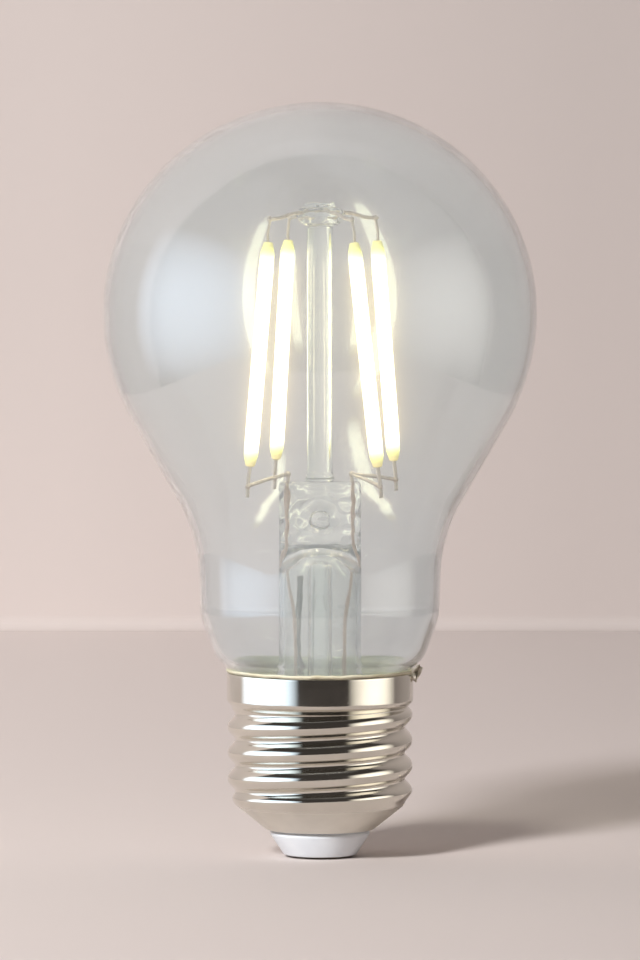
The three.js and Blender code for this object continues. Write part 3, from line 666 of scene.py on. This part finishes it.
def build_insulator():
    """The foot ring round the contact, with a seat for the shell's mouth and a flange inside it."""
    foot = INSULATOR_LOW.z
    shoulder = MOUTH - 0.05
    outline = rounded_outline([
        (1.1, 0.9, 0),
        (4.3, 0.9, 0),
        (4.3, foot, 0.1),
        (5.1, foot, 0.45),
        (7.4, shoulder, 0.5),
        (6.85, shoulder, 0),
        (6.85, MOUTH + SHEET + 0.05, 0),
        (8.4, INSULATOR_HIGH.z - 0.6, 0.2),
        (8.4, INSULATOR_HIGH.z, 0.1),
        (1.1, INSULATOR_HIGH.z, 0),
    ], 5)
    vertices, faces = lathe(outline, FINE, closed=True)
    make_piece("insulator_moulding", vertices, faces, INSULATOR, ["base_insulator"])


def build_contact():
    """The low tin button and its nail."""
    radius = CONTACT_HIGH.x
    outline = rounded_outline([
        (0, 0.0, 0),
        (radius - 0.7, 0.0, 0.4),
        (radius, 0.25, 0.3),
        (radius, 0.6, 0.1),
        (0.8, 0.7, 0),
        (0.8, CONTACT_HIGH.z - 0.2, 0),
        (0.6, CONTACT_HIGH.z, 0.1),
        (0, CONTACT_HIGH.z, 0),
    ], 4)
    vertices, faces = lathe(outline, 64)
    make_piece("contact_button", vertices, faces, CONTACT, ["centre_contact"])


def glass_radius(height):
    """Outer radius of the glass between its tail and its shoulder."""
    share = (height - TAIL_TOP) / (SHOULDER - TAIL_TOP)
    return TAIL_RADIUS + (SHOULDER_RADIUS - TAIL_RADIUS) * max(share, 0.0)


def build_cement():
    """The cement that fills the collar, with a narrow uneven fillet from the rim up to the glass."""
    outer = COLLAR_RADIUS - SHEET - 0.03
    touch = RIM + 0.55
    outline = rounded_outline([
        (TAIL_RADIUS + 0.03, RIM - 3.6, 0),
        (outer, RIM - 3.6, 0),
        (outer, RIM + 0.03, 0),
        (COLLAR_RADIUS - 0.15, RIM + 0.03, 0.05),
        (COLLAR_RADIUS + 0.1, RIM + 0.3, 0.15),
        (glass_radius(touch) + 0.05, touch, 0),
        (glass_radius(RIM) + 0.03, RIM, 0),
        (TAIL_RADIUS + 0.03, TAIL_TOP, 0),
    ], 4)
    vertices, faces = lathe(outline, FINE, closed=True)
    lumpy = []
    for vertex in vertices:
        point = Vector(vertex)
        radius = math.hypot(point.x, point.y)
        if radius > COLLAR_RADIUS - 0.3:
            push = 1 + 0.006 * noise.noise(point * 0.5) + 0.004 * noise.noise(point * 1.7)
            point.x *= push
            point.y *= push
            point.z += 0.12 * noise.noise(point * 0.7)
        lumpy.append(point)
    make_piece("cement_ring", lumpy, faces, CEMENT, ["cap_cement"])


def build_side_solder():
    """The folded end of the neutral wire's strip, soldered to the collar's upper edge."""
    centre = (SOLDER_LOW + SOLDER_HIGH) / 2
    direction = math.degrees(math.atan2(centre.y, centre.x))
    reach = COLLAR_RADIUS
    lump = blob(polar(reach + 0.1, direction + 1, RIM - 0.45), (0.4, 0.95, 0.55), 3, 0.35)
    up = smooth_path([
        polar(reach - 0.5, direction - 3, RIM + 0.12),
        polar(reach + 0.1, direction - 2, RIM + 0.25),
        polar(reach + 0.65, direction, RIM + 0.7),
        polar(reach + 1.0, direction + 1, RIM + 0.95),
    ], 5)
    down = smooth_path([
        polar(reach + 1.0, direction + 1, RIM + 0.95),
        polar(reach + 0.75, direction + 1, RIM + 0.1),
        polar(reach + 0.3, direction + 2, RIM - 0.55),
        polar(reach + 0.15, direction + 3, RIM - 1.1),
    ], 5)
    strip = strip_section(0.22, 1.1)
    narrow = strip_section(0.2, 0.8)
    vertices, faces = merged(lump, sweep(up, narrow), sweep(down, strip))
    make_piece("solder_joint", vertices, faces, SOLDER, ["side_solder"])


# ---------------------------------------------------------------- glass

def envelope_outline():
    """The glass from its tail up the neck and the cone to the crown."""
    tangent_radius = BODY_RADIUS * math.cos(CONE_ANGLE)
    tangent_height = BODY_CENTRE - BODY_RADIUS * math.sin(CONE_ANGLE)
    neck_top = tangent_height - (tangent_radius - NECK_TOP_RADIUS) / math.tan(CONE_ANGLE)
    outline = rounded_outline([
        (TAIL_RADIUS - 0.2, TAIL_BOTTOM, 0),
        (TAIL_RADIUS, TAIL_TOP, 0.8),
        (SHOULDER_RADIUS, SHOULDER, 5.0),
        (NECK_BOTTOM_RADIUS, NECK_BOTTOM, 8.0),
        (NECK_TOP_RADIUS, neck_top, 22.0),
        (tangent_radius, tangent_height, 0),
    ], ENVELOPE_ARC_STEPS)
    for step in range(1, WAIST_STEPS + 1):
        angle = -CONE_ANGLE * (1 - step / WAIST_STEPS)
        outline.append(Vector((BODY_RADIUS * math.cos(angle), BODY_CENTRE + BODY_RADIUS * math.sin(angle))))
    for step in range(1, CROWN_STEPS + 1):
        angle = math.pi / 2 * step / CROWN_STEPS
        outline.append(Vector((BODY_RADIUS * math.cos(angle),
                               BODY_CENTRE + (CROWN - BODY_CENTRE) * math.sin(angle))))
    return outline


def build_envelope():
    """The thin-walled glass, open at its tail."""
    outer = envelope_outline()
    inner = offset_outline(outer, WALL)
    inner[0].y = TAIL_BOTTOM
    inner[-1] = Vector((0, CROWN - WALL))
    vertices, faces = lathe(inner[::-1] + outer, ENVELOPE_SEGMENTS)
    make_piece("glass_bulb", vertices, faces, ENVELOPE_GLASS, ["glass_envelope"])


def stem_ring(half_width, half_depth, height, squareness=1.0, segments=96):
    """An oval ring. A squareness below 1 makes it more of a rounded rectangle."""
    ring = []
    for j in range(segments):
        angle = 2 * math.pi * j / segments
        c, s = math.cos(angle), math.sin(angle)
        ring.append(Vector((
            half_width * math.copysign(abs(c) ** squareness, c),
            half_depth * math.copysign(abs(s) ** squareness, s),
            height,
        )))
    return ring


def press_surface(point):
    """Pulls the flat faces of the press in at the dimple and leaves the tongs' uneven marks."""
    if not PRESS_BOTTOM - 2 < point.z < PRESS_TOP + 0.1:
        return point
    from_dimple = math.hypot(point.x, point.z - (PRESS_TOP - DIMPLE_BELOW_TOP))
    dimple = 0.75 * (1 - smoothstep(from_dimple, 0.9, 2.3))
    lip = 0.28 * smoothstep(from_dimple, 1.7, 2.4) * (1 - smoothstep(from_dimple, 2.5, 3.3))
    wave = 0.36 * noise.noise(Vector((point.x * 0.8, point.y, point.z * 0.85)))
    side = math.copysign(1.0, point.y) * min(1.0, abs(point.y) / 1.0)
    return point + Vector((0, side * (lip + wave - dimple), 0))


def build_stem():
    """The flared tube with its roof inside, blended into the flat press above it."""
    flare_edge = TAIL_RADIUS - 0.2 - WALL - 0.1
    outer = rounded_outline([
        (flare_edge, STEM_LOW.z, 0),
        (TUBE_RADIUS, RIM, 3.0),
        (TUBE_RADIUS, TUBE_TOP, 0),
    ], 10)
    inner = offset_outline(outer, TUBE_WALL)
    inner[0].y = STEM_LOW.z
    rings = [stem_ring(TUBE_RADIUS * 0.05, TUBE_RADIUS * 0.05, TUBE_TOP + 2.6)]
    for share in (0.75, 0.5, 0.25):
        rings.append(stem_ring(TUBE_RADIUS * (0.86 - 0.5 * share), TUBE_RADIUS * (0.86 - 0.62 * share),
                               TUBE_TOP + 2.4 * share ** 0.8))
    for point in denser(inner, 1.5)[::-1] + denser(outer, 1.5):
        rings.append(stem_ring(point.x, point.x, point.y))
    for step in range(1, PRESS_BLEND_STEPS + 1):
        share = step / PRESS_BLEND_STEPS
        blend = smoothstep(share, 0, 1)
        rings.append(stem_ring(
            TUBE_RADIUS + (PRESS_HALF_WIDTH - TUBE_RADIUS) * blend,
            TUBE_RADIUS + (PRESS_HALF_DEPTH - TUBE_RADIUS) * blend,
            TUBE_TOP + (PRESS_BOTTOM - TUBE_TOP) * share,
            1 - (1 - PRESS_SQUARENESS) * blend,
        ))
    for step in range(1, PRESS_STEPS + 1):
        height = PRESS_BOTTOM + (PRESS_LENGTH - PRESS_ROUNDING) * step / PRESS_STEPS
        rings.append(stem_ring(PRESS_HALF_WIDTH, PRESS_HALF_DEPTH, height, PRESS_SQUARENESS))
    for share in (0.35, 0.7, 0.92, 1.0):
        inset = 0.7 * (1 - math.sqrt(1 - share ** 2))
        rings.append(stem_ring(PRESS_HALF_WIDTH - inset, PRESS_HALF_DEPTH - inset,
                               PRESS_TOP - PRESS_ROUNDING * (1 - share), PRESS_SQUARENESS))
    vertices, faces = skin_rings(rings)
    shaped = [press_surface(Vector(v)) for v in vertices]
    make_piece("stem_and_press", shaped, faces, STEM_GLASS, ["stem_glass"])


def build_exhaust_tube():
    """The thin tube that hangs in the stem, narrowed near its top."""
    radius = EXHAUST_HIGH.x
    bottom, top = EXHAUST_LOW.z, EXHAUST_HIGH.z
    bore = radius - 0.5
    outline = rounded_outline([
        (bore - 0.5, bottom, 0),
        (radius - 0.5, bottom, 0.3),
        (radius, bottom + 1.5, 0.5),
        (radius, top, 0.2),
        (radius - 0.2, top, 0.1),
        (bore - 0.55, top - 4.5, 0.6),
        (bore, top - 7.0, 1.0),
        (bore, bottom + 1.5, 0.5),
    ], 5)
    vertices, faces = lathe(outline, 48, closed=True)
    make_piece("exhaust_tubulation", vertices, faces, STEM_GLASS, ["exhaust_tube"])


def build_rod_and_button():
    """The solid rod, and the lump squeezed round the tie wire at its top."""
    rod = rounded_outline([
        (0, PRESS_TOP + 0.05, 0),
        (ROD_RADIUS + 0.35, PRESS_TOP + 0.05, 0.3),
        (ROD_RADIUS, PRESS_TOP + 1.3, 1.5),
        (ROD_RADIUS, ROD_HIGH.z, 0.15),
        (0, ROD_HIGH.z, 0),
    ], 6)
    vertices, faces = lathe(rod, 64)
    make_piece("centre_rod", vertices, faces, STEM_GLASS, ["stem_rod"])
    bottom, top = BUTTON_LOW.z, BUTTON_HIGH.z
    radius = BUTTON_HIGH.x
    button = rounded_outline([
        (0, bottom - 0.2, 0),
        (ROD_RADIUS + 0.1, bottom - 0.2, 0.2),
        (radius - 0.5, bottom + 0.2, 0.5),
        (radius, bottom + 1.3, 0.7),
        (radius - 0.3, bottom + 2.1, 0.4),
        (ROD_RADIUS + 0.6, bottom + 2.4, 0.3),
        (ROD_RADIUS + 0.4, top, 0.6),
        (0, top, 0),
    ], 6)
    vertices, faces = lathe(button, 72)
    lumpy = []
    for vertex in vertices:
        point = Vector(vertex)
        swell = 1 + 0.10 * noise.noise(point * 0.9)
        lumpy.append(Vector((point.x * swell, point.y * swell, point.z)))
    make_piece("rod_button", lumpy, faces, STEM_GLASS, ["glass_button"])


# ---------------------------------------------------------------- light engine

class Filament:
    """Where one filament stands, and points along its line beyond both ends."""

    def __init__(self, name):
        self.name = name
        self.side, top_angle, foot_angle = FILAMENT_SPOTS[name]
        self.top = polar(TOP_RING, top_angle, FILAMENT_TOP)
        self.foot = polar(FOOT_RING, foot_angle, FILAMENT_FOOT)
        self.up = (self.top - self.foot).normalized()
        self.out = Vector((self.foot.x, self.foot.y, 0)).normalized()

    def above(self, distance):
        return self.top + self.up * distance

    def below(self, distance):
        return self.foot - self.up * distance


FILAMENTS = [Filament(name) for name in FILAMENT_SPOTS]


def build_filaments():
    """The four rods, each leaning along its own line, with their terminals."""
    for filament in FILAMENTS:
        length = (filament.top - filament.foot).length
        outline = rounded_outline([
            (0, 0, 0),
            (FILAMENT_RADIUS * 0.62, 0, 0.3),
            (FILAMENT_RADIUS, 1.6, 1.6),
            (FILAMENT_RADIUS, length - 1.6, 1.6),
            (FILAMENT_RADIUS * 0.62, length, 0.3),
            (0, length, 0),
        ], 6)
        vertices, faces = lathe(denser(outline, 2.0), 32)
        turn = Vector((0, 0, 1)).rotation_difference(filament.up)
        placed = [filament.foot + turn @ Vector(v) for v in vertices]
        make_piece(f"filament_rod_{filament.name}", placed, faces, PHOSPHOR,
                   [f"filament_{filament.name}"])
        build_terminals(filament)


def build_terminals(filament):
    """The metal strips that come out of both ends of a filament, a little bent by hand."""
    bow = filament.out * 0.25
    upper = smooth_path([filament.above(-0.4), filament.above(1.2) + bow,
                         filament.above(UPPER_TERMINAL)], 6)
    lower = smooth_path([filament.below(-0.4), filament.below(LOWER_TERMINAL / 2) + bow * 0.4,
                         filament.below(LOWER_TERMINAL)], 6)
    section = strip_section(TERMINAL_WIDTH, TERMINAL_THICKNESS)
    slim = strip_section(TERMINAL_WIDTH * 0.7, TERMINAL_THICKNESS)
    for end, path, shape in (("upper", upper, slim), ("lower", lower, section)):
        vertices, faces = sweep(path, shape)
        make_piece(f"{end}_strip_{filament.name}", vertices, faces, WIRE,
                   [f"{end}_terminal_{filament.name}"])


def build_tie_wire():
    """The wire that is held in the button and joins the four upper terminals."""
    arms = []
    for filament in FILAMENTS:
        hook = filament.above(UPPER_TERMINAL)
        outward = Vector((hook.x, hook.y, 0)).normalized()
        reach = math.hypot(hook.x, hook.y)
        points = [
            outward * -0.4 + Vector((0, 0, TIE_HEIGHT)),
            outward * reach * 0.5 + Vector((0, 0, TIE_HEIGHT - 0.05)),
            outward * reach * 0.8 + Vector((0, 0, hook.z + 0.15)),
            outward * (reach + 0.3) + Vector((0, 0, hook.z)),
        ]
        arms.append(round_wire(smooth_path(points, 8), TIE_RADIUS))
        arms.append(blob(hook, (0.34, 0.34, 0.42), len(arms), 0.2))
    vertices, faces = merged(*arms)
    make_piece("tie_wire_arms", vertices, faces, WIRE, ["upper_tie_wire"])


def build_lead_in(side, sign):
    """One wire up through the press, forked above it to the feet of two filaments."""
    low, _ = box_mm(f"lead_in_wire_{side}")
    press_x = sign * LEAD_PRESS_X
    tube_x = sign * LEAD_TUBE_X
    knuckle = Vector((press_x, 0, PRESS_TOP + 1.0))
    riser = smooth_path([
        Vector((tube_x, 0, low.z + LEAD_RADIUS)),
        Vector((tube_x, 0, PRESS_BOTTOM - 12)),
        Vector((press_x, 0, TUBE_TOP - 1.5)),
        Vector((press_x, 0, PRESS_BOTTOM)),
        knuckle,
    ], 8)
    shapes = [round_wire(riser, LEAD_RADIUS), blob(knuckle, (0.42, 0.42, 0.45), 2 + sign, 0.2)]
    for filament in FILAMENTS:
        if filament.side != side:
            continue
        joint = filament.below(LEAD_CROSSING)
        beyond = joint + (joint - knuckle).normalized() * 0.35
        shapes.append(round_wire([knuckle, (knuckle + beyond) / 2 + Vector((0, 0, 0.12)), beyond],
                                 LEAD_RADIUS))
        shapes.append(blob(joint, (0.36, 0.36, 0.4), 7 + sign, 0.25))
    vertices, faces = merged(*shapes)
    make_piece(f"lead_in_{side}", vertices, faces, LEAD_IN, [f"lead_in_wire_{side}"])


# ---------------------------------------------------------------- stage, lights and camera

WALL_COLOUR = (0.62, 0.545, 0.515)
TABLE_COLOUR = (0.69, 0.615, 0.585)
SURROUND_COLOUR = (0.60, 0.53, 0.495)
# Painted light: the wall and table paint is lighter on the left, where the key lamp falls, and darker on the
# right as painted shade.
PAINTED_LIGHT_LEFT = 1.07
PAINTED_SHADE_RIGHT = 0.885
PAINTED_SHADE_REACH = 0.05
TABLE_HALF_WIDTH = 0.16
TABLE_FRONT = -0.15
WALL_HALF_WIDTH = 2.0
WALL_DISTANCE = 0.405
WALL_LOW = -0.6
WALL_HIGH = 2.5
COVE_RADIUS = 0.003


def shaded_paint_material(name, paint):
    """Matt pale paint with painted light on the left and painted shade on the right, and a faint grain. Its
    back can't be seen.
    """
    recipe = Recipe(name)
    across = recipe.node("ShaderNodeSeparateXYZ", Vector=recipe.place()).outputs["X"]
    shade = recipe.node("ShaderNodeMapRange", Value=across)
    shade.inputs["From Min"].default_value = -PAINTED_SHADE_REACH
    shade.inputs["From Max"].default_value = PAINTED_SHADE_REACH
    # Painted light and shade: the paint colour is brightened on the left and darkened on the right across
    # the backdrop.
    light = tuple(channel * PAINTED_LIGHT_LEFT for channel in paint)
    dark = tuple(channel * PAINTED_SHADE_RIGHT for channel in paint)
    colour = recipe.ramp(shade.outputs["Result"], (0.0, light), (1.0, dark))
    grain = recipe.cloud(900, detail=3)
    front = recipe.principled(colour, 0.8, Normal=recipe.bump(grain, 0.00001))
    back = recipe.node("ShaderNodeBsdfTransparent")
    side = recipe.node("ShaderNodeNewGeometry").outputs["Backfacing"]
    mix = recipe.node("ShaderNodeMixShader")
    recipe.tree.links.new(side, mix.inputs[0])
    recipe.tree.links.new(front.outputs[0], mix.inputs[1])
    recipe.tree.links.new(back.outputs[0], mix.inputs[2])
    recipe.show(mix.outputs[0])
    return recipe.material


def add_sheet(name, half_width, profile, paint):
    """A sheet that follows a profile of (depth, height) points and runs from side to side."""
    vertices, faces = [], []
    for depth, height in profile:
        vertices += [(-half_width, depth, height), (half_width, depth, height)]
    for row in range(len(profile) - 1):
        a = 2 * row
        faces.append((a, a + 1, a + 3, a + 2))
    mesh = bpy.data.meshes.new(name)
    mesh.from_pydata(vertices, [], faces)
    mesh.materials.append(shaded_paint_material(f"{name}_paint", paint))
    sheet = bpy.data.objects.new(name, mesh)
    bpy.context.scene.collection.objects.link(sheet)


def build_stage():
    """A pale table top in front of a pale wall, with a small cove where they meet."""
    cove = []
    for step in range(9):
        angle = math.pi / 2 * step / 8
        cove.append((WALL_DISTANCE - COVE_RADIUS * (1 - math.sin(angle)),
                     COVE_RADIUS * (1 - math.cos(angle))))
    add_sheet("table", TABLE_HALF_WIDTH, [(TABLE_FRONT, 0.0), cove[0]], TABLE_COLOUR)
    add_sheet("cove", TABLE_HALF_WIDTH, cove, WALL_COLOUR)
    add_sheet("wall", WALL_HALF_WIDTH, [(WALL_DISTANCE, WALL_LOW), (WALL_DISTANCE, WALL_HIGH)], WALL_COLOUR)


def aim(item, target):
    direction = Vector(target) - item.location
    item.rotation_mode = "QUATERNION"
    item.rotation_quaternion = direction.to_track_quat("-Z", "Y")


def add_math(tree, operation, first, second):
    """A math node's result. Each operand is a socket or a number."""
    made = tree.nodes.new("ShaderNodeMath")
    made.operation = operation
    for socket, value in zip(made.inputs, (first, second)):
        if isinstance(value, bpy.types.NodeSocket):
            tree.links.new(value, socket)
        else:
            socket.default_value = value
    return made.outputs[0]


def soften_edges(light):
    """Makes the panel brightest in its middle and dark at its edges, like a lit diffuser cloth."""
    light.use_nodes = True
    tree = light.node_tree
    spot = tree.nodes.new("ShaderNodeNewGeometry")
    split = tree.nodes.new("ShaderNodeSeparateXYZ")
    tree.links.new(spot.outputs["Parametric"], split.inputs[0])
    strength = 1.0
    for axis in ("X", "Y"):
        across = split.outputs[axis]
        hump = add_math(tree, "MULTIPLY", across, add_math(tree, "SUBTRACT", 1.0, across))
        strength = add_math(tree, "MULTIPLY", add_math(tree, "MULTIPLY", hump, 4.0), strength)
    tree.links.new(strength, tree.nodes["Emission"].inputs["Strength"])


def add_panel(name, place, target, size, radiance, colour, soft=True):
    """A rectangular light of size (width, height), as bright as radiance in its middle."""
    width, height = size
    light = bpy.data.lights.new(name, "AREA")
    light.shape = "RECTANGLE"
    light.size = width
    light.size_y = height
    light.energy = radiance * math.pi * width * height
    light.color = colour
    if soft:
        soften_edges(light)
    item = bpy.data.objects.new(name, light)
    item.visible_camera = False
    item.visible_transmission = False
    item.location = place
    bpy.context.scene.collection.objects.link(item)
    aim(item, target)
    return item


def around(degrees, distance, height):
    """A place round the bulb. 0 degrees is straight in front of it, and 90 is on its right."""
    angle = math.radians(degrees)
    return Vector((distance * math.sin(angle), -distance * math.cos(angle), height))


BULB_LOW = (0, 0, 0.05)
BULB_HIGH = (0, 0, 0.14)
KEY_PLACE = around(-31, 2.5, 1.65)
KEY_SIZE = (0.5, 0.5)
KEY_RADIANCE = 137
KEY_COLOUR = (1.0, 1.0, 1.0)
LEFT_PLACE = around(-70, 0.6, 0.14)
LEFT_SIZE = (1.15, 0.75)
LEFT_RADIANCE = 3.5
LEFT_COLOUR = (0.70, 0.84, 1.0)
RIGHT_PLACE = around(70, 0.7, 0.14)
RIGHT_SIZE = (1.0, 0.85)
RIGHT_RADIANCE = 2.1
RIGHT_COLOUR = (1.0, 0.94, 0.85)
FILL_PLACE = (0, 0.1, 1.1)
FILL_SIZE = (1.2, 1.2)
FILL_RADIANCE = 0.2
FILL_COLOUR = (1.0, 0.99, 0.97)
ROOM_STRENGTH = 0.09


def build_lights():
    """A key light from the upper left, a panel on each side for reflections, and a weak overhead fill."""
    key = add_panel("key_panel", KEY_PLACE, BULB_LOW, KEY_SIZE, KEY_RADIANCE, KEY_COLOUR, soft=False)
    key.visible_glossy = False
    left = add_panel("left_panel", LEFT_PLACE, BULB_HIGH, LEFT_SIZE, LEFT_RADIANCE, LEFT_COLOUR)
    right = add_panel("right_panel", RIGHT_PLACE, BULB_HIGH, RIGHT_SIZE, RIGHT_RADIANCE, RIGHT_COLOUR)
    for panel in (left, right):
        panel.visible_diffuse = False
    add_panel("overhead_panel", FILL_PLACE, BULB_LOW, FILL_SIZE, FILL_RADIANCE, FILL_COLOUR)
    build_room()


def build_room():
    """A dark studio for reflections, and a pale surround where the camera sees past the wall."""
    world = bpy.data.worlds.new("studio")
    world.use_nodes = True
    tree = world.node_tree
    dark = tree.nodes["Background"]
    dark.inputs["Color"].default_value = (*SURROUND_COLOUR, 1)
    dark.inputs["Strength"].default_value = ROOM_STRENGTH
    pale = tree.nodes.new("ShaderNodeBackground")
    pale.inputs["Color"].default_value = (*SURROUND_COLOUR, 1)
    path = tree.nodes.new("ShaderNodeLightPath")
    seen = add_math(tree, "MAXIMUM", path.outputs["Is Camera Ray"], path.outputs["Is Transmission Ray"])
    mix = tree.nodes.new("ShaderNodeMixShader")
    tree.links.new(seen, mix.inputs[0])
    tree.links.new(dark.outputs[0], mix.inputs[1])
    tree.links.new(pale.outputs[0], mix.inputs[2])
    tree.links.new(mix.outputs[0], tree.nodes["World Output"].inputs["Surface"])
    bpy.context.scene.world = world


CAMERA_DISTANCE = 1.1
CAMERA_DOWN = math.radians(3.39)
CAMERA_TARGET = Vector((0.0, 0.0, 0.053))
VIEW_HEIGHT = 0.13464
SENSOR = 36.0


def build_camera():
    """A long lens, so far off and so near level that VIEW_HEIGHT just fits in at the bulb."""
    camera = bpy.data.cameras.new("camera")
    camera.sensor_width = SENSOR
    camera.lens = SENSOR * CAMERA_DISTANCE / VIEW_HEIGHT
    camera.clip_start = 0.05
    camera.clip_end = 20
    item = bpy.data.objects.new("camera", camera)
    back = Vector((0, -math.cos(CAMERA_DOWN), math.sin(CAMERA_DOWN)))
    item.location = CAMERA_TARGET + back * CAMERA_DISTANCE
    bpy.context.scene.collection.objects.link(item)
    aim(item, CAMERA_TARGET)
    bpy.context.scene.camera = item


def add_glow():
    """The soft halo that a lens gives to the lit filaments."""
    scene = bpy.context.scene
    scene.use_nodes = True
    tree = scene.node_tree
    tree.nodes.clear()
    layers = tree.nodes.new("CompositorNodeRLayers")
    glare = tree.nodes.new("CompositorNodeGlare")
    glare.glare_type = "FOG_GLOW"
    glare.quality = "HIGH"
    glare.inputs["Threshold"].default_value = 1.6
    glare.inputs["Strength"].default_value = 0.45
    glare.inputs["Tint"].default_value = (1.0, 0.80, 0.42, 1)
    glare.inputs["Size"].default_value = 0.3
    output = tree.nodes.new("CompositorNodeComposite")
    tree.links.new(layers.outputs["Image"], glare.inputs["Image"])
    tree.links.new(glare.outputs["Image"], output.inputs["Image"])


def set_view():
    """Plain colours, and enough bounces for light to get through all the glass walls."""
    scene = bpy.context.scene
    scene.view_settings.view_transform = "Standard"
    scene.cycles.use_denoising = True
    scene.cycles.max_bounces = 24
    scene.cycles.transmission_bounces = 24
    scene.cycles.transparent_max_bounces = 24
    scene.cycles.glossy_bounces = 8


build_camera()
build_stage()
build_lights()
set_view()
add_glow()
dress_hidden_nodes()
build_screw_shell()
build_insulator()
build_contact()
build_cement()
build_side_solder()
build_envelope()
build_stem()
build_exhaust_tube()
build_rod_and_button()
build_filaments()
build_tie_wire()
build_lead_in("left", -1)
build_lead_in("right", 1)
